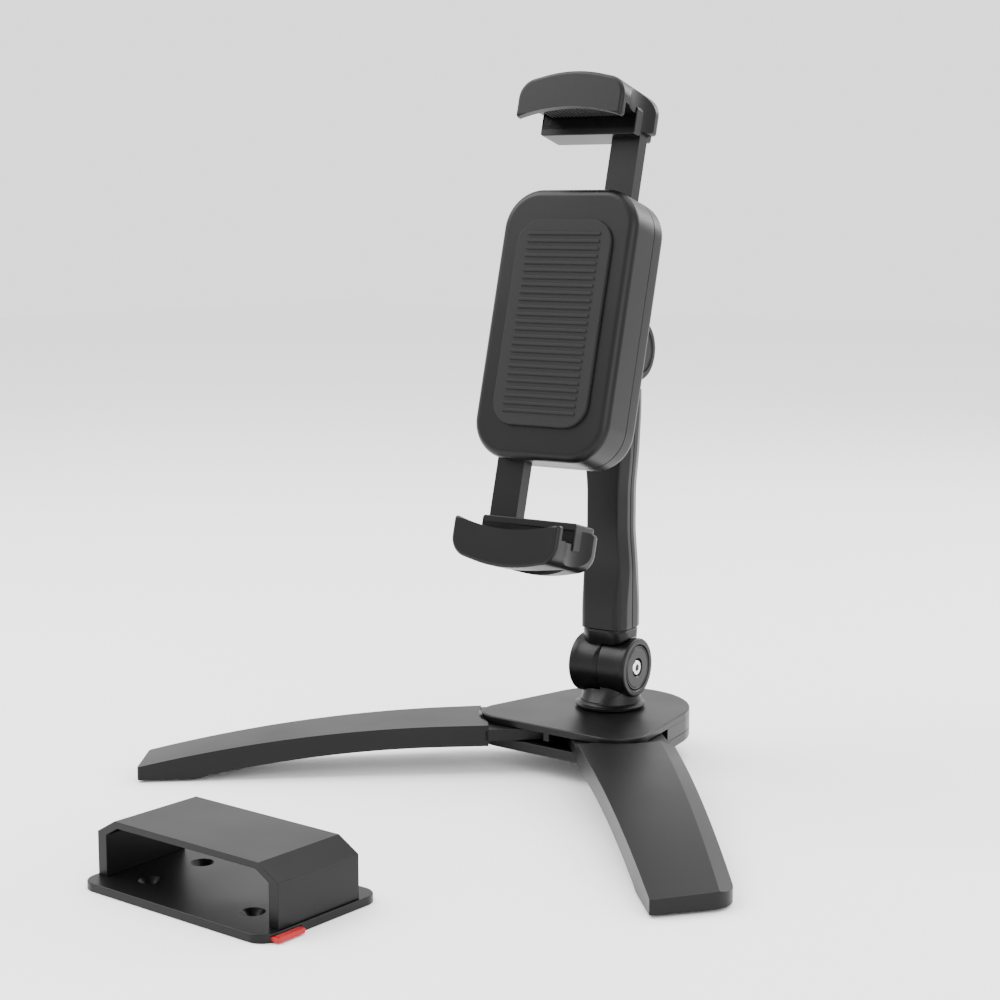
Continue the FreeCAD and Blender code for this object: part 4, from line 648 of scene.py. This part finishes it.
def collar(rings, scoop, at):
    """Flange of a swivel knuckle, and the part of its neck that stands proud beyond a slanting line."""
    lip = [(BOLT_BORE, -FLANGE_LOW), (14.0, -FLANGE_LOW), (14.2, -17.4), (14.2, -16.9), (14.9, -16.8),
           (15, -16.6), (15, -16.4), (14.7, -16.2), (13.7, -15.8), (13.25, -15.4), (12.9, -14.6),
           (BOLT_BORE, -14.6)]
    middle, high, low = Vector((0, 0, -14)), Vector((5.9, -9.9, -12.5)), Vector((0.4, -13.5, -16))
    slant = (high - middle).cross(low - middle)
    wide = [[(x * PROUD, y * PROUD, z) for x, y, z in ring] for ring in rings[6:-2]]
    proud = solid("proud", stack(wide), at)
    side = at @ Matrix.Translation(middle) @ turn_to(slant if slant.x > 0 else -slant)
    cut(proud, solid("side", block(0, 40, -40, 40, -40, 40), side), operation="INTERSECT")
    cut(proud, solid("scoop", scoop, at))
    return [solid("flange", lathe(lip), at), bevel(proud, 0.35, 40, 2)]


def knuckle(name, body, node, half, at, swivel):
    """Half a barrel on a neck."""
    rings = neck_rings(swivel)
    neck = solid("neck", stack(rings), at)
    scoop = to_x(rod(SCOOP, -20, SEAM) if half > 0 else rod(SCOOP, -SEAM, 20))
    cut(neck, solid("scoop", scoop, at))
    bevel(neck, 0.4, 32, 2)
    things = [barrel_half(half, at), neck]
    if swivel:
        things += collar(rings, scoop, at)
    part(joined(name, *things), body, [node], "black_plastic")


def build_hinge(name, low_body, high_body, at):
    """Caps and screw; the screw belongs to low_body."""
    cap = [(9.6, CAP_SEAT), (9.6, 12.8), (9.15, 13.3), (8.75, 13.3), (8.6, 13.12), (8.4, 13.12), (8.25, 13.3)]
    ring = to_x(lathe([(3.75, CAP_SEAT)] + cap + [(4.15, 13.3), (3.75, 12.9)]))
    part(solid(name + "_screw_side_cap", ring, at), low_body, [name + "_hinge_cap"], "black_plastic_fine")
    disc = to_x(lathe([(0, -CAP_SEAT)] + [(r, -x) for r, x in cap] + [(0, -13.3)], whole=False))
    part(solid(name + "_blind_cap", disc, at), high_body, [name + "_end_cap"], "black_plastic_fine")
    turned = [(0, -12.2), (2.5, -12.2), (2.5, 11.1), (3.1, 11.1), (3.1, 12.85), (2.85, 13.1), (0, 13.1)]
    bolt = solid(name + "_hex_screw", to_x(lathe(turned, whole=False)), at)
    cut(bolt, solid("hexagon", to_x(rod(1.6, 10.4, 14, 6)), at))
    part(bolt, low_body, [name + "_hinge_screw"], "steel")


# Arm
def arm_section(away):
    """Section of the arm at some distance from its middle: eight corners, wider and rounder at the ends."""
    flare = ease((away - 22) / 22)
    x, y, flank, shoulder = 9.2 + 1.4 * ease((away - 6) / 22), 7.8 + 2 * flare, 1.7, 5.2
    corners = [(x, y - shoulder), (x - flank, y), (flank - x, y), (-x, y - shoulder),
               (-x, shoulder - y), (flank - x, -y), (x - flank, -y), (x, shoulder - y)]
    return outline([c + (1.2 + 2.6 * flare,) for c in corners], 0, 8)


def build_arm():
    """Two half shells with a fine seam down both sides; flared towards the hinges."""
    levels = [ARM_LOW + ARM_LONG * i / 48 for i in range(49)]
    rings = [[(p.x, p.y, z) for p in arm_section(abs(z - ARM_MIDDLE))] for z in levels]
    for name, node, y0, y1 in (("arm_front_half", "arm_front_shell", -30, -0.12),
                               ("arm_rear_half", "arm_back_shell", 0.12, 30)):
        shell = solid(name, stack(rings), AT_LOW)
        cut(shell, solid("half", block(-30, 30, y0, y1, 0, 140), AT_LOW), operation="INTERSECT")
        part(bevel(shell, 0.3, 32, 2), "arm", [node], "black_plastic")


# Head, drawn with +Z out of the screen and +Y up it
def build_head_back(case):
    back = solid("back", slab(case, soft(CASE_BACK, CASE_SEAM, 3.5, 0.35, 6), 14), AT_HEAD)
    cut(back, solid("cavity", slab(case, [(26.5, CASE_WALL), (35, CASE_WALL)], 14), AT_HEAD),
        solid("bore", rod(9.9, 20, 28), AT_HEAD))
    for x, y in HEAD_SCREWS:
        cut(back, solid("sink", rod(SCREW_SINK, 23, 25.35), AT_HEAD @ shift(x, y, 0)))
    profile = [(BOLT_BORE, 18), (22.6, 18), (23, 18.4), (23.4, 20.2), (24.4, 22.2), (25.8, 23.4), (27, 24),
               (27, 25.5), (9.9, 25.5), (9.9, 21), (BOLT_BORE, 21)]
    boss = solid("boss", lathe(profile), AT_HEAD)
    part(joined("head_rear_shell", back, boss), "head", ["head_back_cover"], "black_plastic")


def build_head():
    case = box_corners(-CASE_X, CASE_X, -CASE_Y, CASE_Y, CASE_CORNER)
    build_head_back(case)
    front = solid("head_front_shell", slab(case, soft(CASE_SEAM + 0.1, CASE_FRONT, 0.35, 3.5, 8), 14), AT_HEAD)
    opening = box_corners(-PAD_X, PAD_X, -PAD_Y, PAD_Y, PAD_CORNER)
    recess = slab(opening, [(CASE_FRONT - 1, 0), (CASE_FRONT + 3, 0)])
    cut(front, solid("cavity", slab(case, [(30, CASE_WALL), (46.5, CASE_WALL)], 14), AT_HEAD),
        solid("recess", recess, AT_HEAD),
        solid("slot", block(9, 22.25, 50, 58, 33.95, 40.45), AT_HEAD),
        solid("slot", block(-22.25, -9, -58, -50, 33.95, 40.45), AT_HEAD))
    part(front, "head", ["head_front_cover"], "black_plastic")
    x, y = PAD_X - PAD_PLAY, PAD_Y - PAD_PLAY
    plan = box_corners(-x, x, -y, y, PAD_CORNER - PAD_PLAY)
    pad = solid("pad", slab(plan, soft(48, 50.5, 0.1, 0.6)), AT_HEAD)
    rib = slab(box_corners(-17, 17, -0.75, 0.75, 0.7), soft(50, 51, 0, 0.45))
    ribs = repeat("ribs", rib, [(0, -36 + 3 * i, 0) for i in range(25)], AT_HEAD, "rubber")
    part(joined("head_grip_pad", pad, ribs), "head", ["head_pad"], "rubber")
    spots = [(x, y, CASE_BACK + 0.15) for x, y in HEAD_SCREWS]
    screws = repeat("head_cover_screws", screw(9), spots, AT_HEAD, "black_steel")
    part(screws, "head", ["head_screws"], "black_steel")


def build_claw(name, at):
    """Arched lip in front of the tablet, waisted block behind, soft pad between them."""
    plan = [(CLAW_X, CLAW_INNER, 1.5), (CLAW_X, CLAW_SIDE, 8), (0, CLAW_CROWN, 60), (-CLAW_X, CLAW_SIDE, 8),
            (-CLAW_X, CLAW_INNER, 1.5)]
    claw = solid(name + "_claw_hook", slab(plan, soft(CLAW_BACK, LIP_FRONT, 4, 1.6, 6), 10), at)
    lens = [(x, LENS_Z + LENS_HALF * (1 - (x / LENS_X) ** 2)) for x in range(-LENS_X, LENS_X + 1, 2)]
    lens += [(x, LENS_Z - LENS_HALF * (1 - (x / LENS_X) ** 2)) for x in range(LENS_X - 2, 1 - LENS_X, -2)]
    root = solid("root", slab(box_corners(-22, 22, 78, 89.25, 1.2), soft(CLAW_BACK, GRIP_BACK, 3, 0.4)), at)
    waist = rod(SCOOP_ROUND, 30, 120, 96)
    cut(claw, solid("tablet", block(-50, 50, 40, GRIP_Y, GRIP_BACK, GRIP_FRONT), at),
        solid("dip", rod(78.96, 56.8, 70, 256), at @ shift(0, 5.39, 0)),
        solid("scoop", waist, at @ shift(SCOOP_X, 0, 45) @ turn("X", -90)),
        solid("scoop", waist, at @ shift(-SCOOP_X, 0, 45) @ turn("X", -90)),
        solid("hollow", stack([[(x, y, z) for x, z in lens] for y in (96, 110)]), at))
    bevel(claw, 0.7, 30, 3)
    part(joined(name + "_claw_hook", claw, root), name + "_claw", [name + "_claw"], "black_plastic")
    pad = solid("pad", slab(box_corners(-17, 17, 85.1, 86.2, 0.5), soft(46.5, 58.25, 0.3, 0.3)), at)
    rib = slab(box_corners(-0.6, 0.6, 84.75, 85.4, 0.3), soft(47, 57.75, 0.3, 0.3))
    ribs = repeat("ribs", rib, [(-15.75 + 1.75 * i, 0, 0) for i in range(19)], at, "rubber")
    part(joined(name + "_claw_grip", pad, ribs), name + "_claw", [name + "_claw_pad"], "rubber")


# Bracket, measured from the near end of its sleeve
def sleeve_section(half, shoulder, flat, top, low, y):
    left = [(-half, y, low), (-half, y, shoulder), (-flat, y, top)]
    return left + [(-x, y, z) for x, y, z in left[::-1]]


def build_bracket():
    corners = box_corners(-PLATE_X, PLATE_X, PLATE_Y0, PLATE_Y1, 7)
    plate = solid("wall_plate_moulded", slab(corners, soft(0, PLATE_THICK, 0.2, 0.5), 10), AT_BRACKET)
    hole = lathe([(0, -1), (2.25, -1), (2.25, 1.05), (4.2, PLATE_THICK), (4.2, 5), (0, 5)], whole=False)
    for x, y in PLATE_HOLES:
        cut(plate, solid("hole", hole, AT_BRACKET @ shift(x, y, 0)))
    cut(plate, solid("tab_slot", block(34.2, 55, TAB_Y0 - 0.2, TAB_Y1 + 0.2, 0.5, 2.5), AT_BRACKET))
    part(plate, "bracket", ["wall_plate"], "black_plastic")
    sections = [sleeve_section(43.8, 18.62, 34.94, 23.7, PLATE_THICK, y) for y in (0, -SLEEVE_LONG)]
    sleeve = solid("wall_sleeve", stack(sections), AT_BRACKET)
    cut(sleeve, solid("inside", stack([sleeve_section(half, 17.9, 33.5, 21.3, 2, y)
                                       for half, y in ((41.45, 1), (39.35, -1 - SLEEVE_LONG))]), AT_BRACKET))
    part(bevel(sleeve, 0.5, 20, 3), "bracket", ["bracket_sleeve"], "black_plastic")
    tab = solid("tab", slab(box_corners(36, 47.6, TAB_Y0, TAB_Y1, 1.2), soft(0.6, 2.1, 0.2, 0.2)), AT_BRACKET)
    rib = slab(box_corners(-0.35, 0.35, TAB_Y0 + 1, TAB_Y1 - 1, 0.3), soft(2, 2.4, 0, 0.2))
    ribs = repeat("ribs", rib, [(45.4 + 0.9 * i, 0, 0) for i in range(3)], AT_BRACKET, "red_plastic")
    part(joined("release_tab_pressed", tab, ribs), "release_tab", ["release_tab"], "red_plastic")


build_hub()
for side, name in ((1, "right"), (-1, "left")):
    build_leg(side, name)
knuckle("swivel_knuckle", "swivel", "lower_knuckle", 1, AT_LOW, True)
knuckle("arm_foot_knuckle", "arm", "arm_lower_knuckle", -1, AT_LOW @ turn("X", 180), False)
knuckle("arm_head_knuckle", "arm", "arm_upper_knuckle", -1, AT_HIGH, False)
knuckle("head_knuckle", "neck", "upper_knuckle", 1, AT_NECK, True)
build_hinge("lower", "swivel", "arm", AT_LOW)
build_hinge("upper", "neck", "arm", AT_HIGH)
build_arm()
build_head()
build_claw("upper", AT_HEAD)
build_claw("lower", AT_HEAD @ turn("Z", 180))
build_bracket()


# Stage
FLOOR_HALF, FLOOR_THICK = 3000, 3
FLOOR_PLAY = 0.05        # between the feet and the floor
WORLD_LIGHT = 1.9
# Name, watts, width and place of each light, in metres
LIGHTS = [("key", 20, 0.9, (-0.7, -0.5, 1.1)), ("fill", 9, 0.9, (1.1, -0.6, 0.6)),
          ("top", 11, 1.0, (0.1, 0.2, 1.3)), ("rim", 8, 0.5, (0.3, 1.0, 0.7))]
LIT_POINT = Vector((0, -0.05, 0.12))
CAMERA_LENS, CAMERA_FILM = 71.8, 36
CAMERA_AT = (0.420, -0.718, 0.232)
CAMERA_AHEAD, CAMERA_RIGHT = (-0.547, 0.825, -0.145), (0.833, 0.553, 0)


def build_stage():
    plan = box_corners(-FLOOR_HALF, FLOOR_HALF, -FLOOR_HALF, FLOOR_HALF, 0)
    floor = solid("studio_floor", slab(plan, [(-FLOOR_THICK, 0), (0, 0)], 1), shift(0, 0, -FLOOR_PLAY))
    material, tree = new_material("paper_white_matte")
    shader = add(tree, "ShaderNodeBsdfPrincipled", {"Base Color": tone("fbfbfb"), "Roughness": 0.6})
    add(tree, "ShaderNodeOutputMaterial", {"Surface": shader.outputs["BSDF"]})
    floor.data.materials.append(material)
    world = bpy.data.worlds.new("studio")
    bpy.context.scene.world = world
    world.use_nodes = True
    backdrop = world.node_tree.nodes["Background"]
    backdrop.inputs["Color"].default_value = tone("fafafa")
    backdrop.inputs["Strength"].default_value = WORLD_LIGHT
    for name, power, size, place in LIGHTS:
        light = bpy.data.lights.new(name, "AREA")
        light.energy = power
        light.size = size
        thing = bpy.data.objects.new(name, light)
        thing.location = place
        thing.rotation_euler = (LIT_POINT - Vector(place)).to_track_quat("-Z", "Y").to_euler()
        bpy.context.scene.collection.objects.link(thing)
    camera = bpy.data.cameras.new("camera")
    camera.lens = CAMERA_LENS
    camera.sensor_width = CAMERA_FILM
    holder = bpy.data.objects.new("camera", camera)
    ahead, right = Vector(CAMERA_AHEAD).normalized(), Vector(CAMERA_RIGHT).normalized()
    up = right.cross(ahead)
    seat = Matrix.Translation(CAMERA_AT) @ Matrix((right, up, -ahead)).transposed().to_4x4()
    holder.matrix_world = turn("Z", HEAD_YAW) @ seat
    bpy.context.scene.collection.objects.link(holder)
    bpy.context.scene.camera = holder


build_stage()
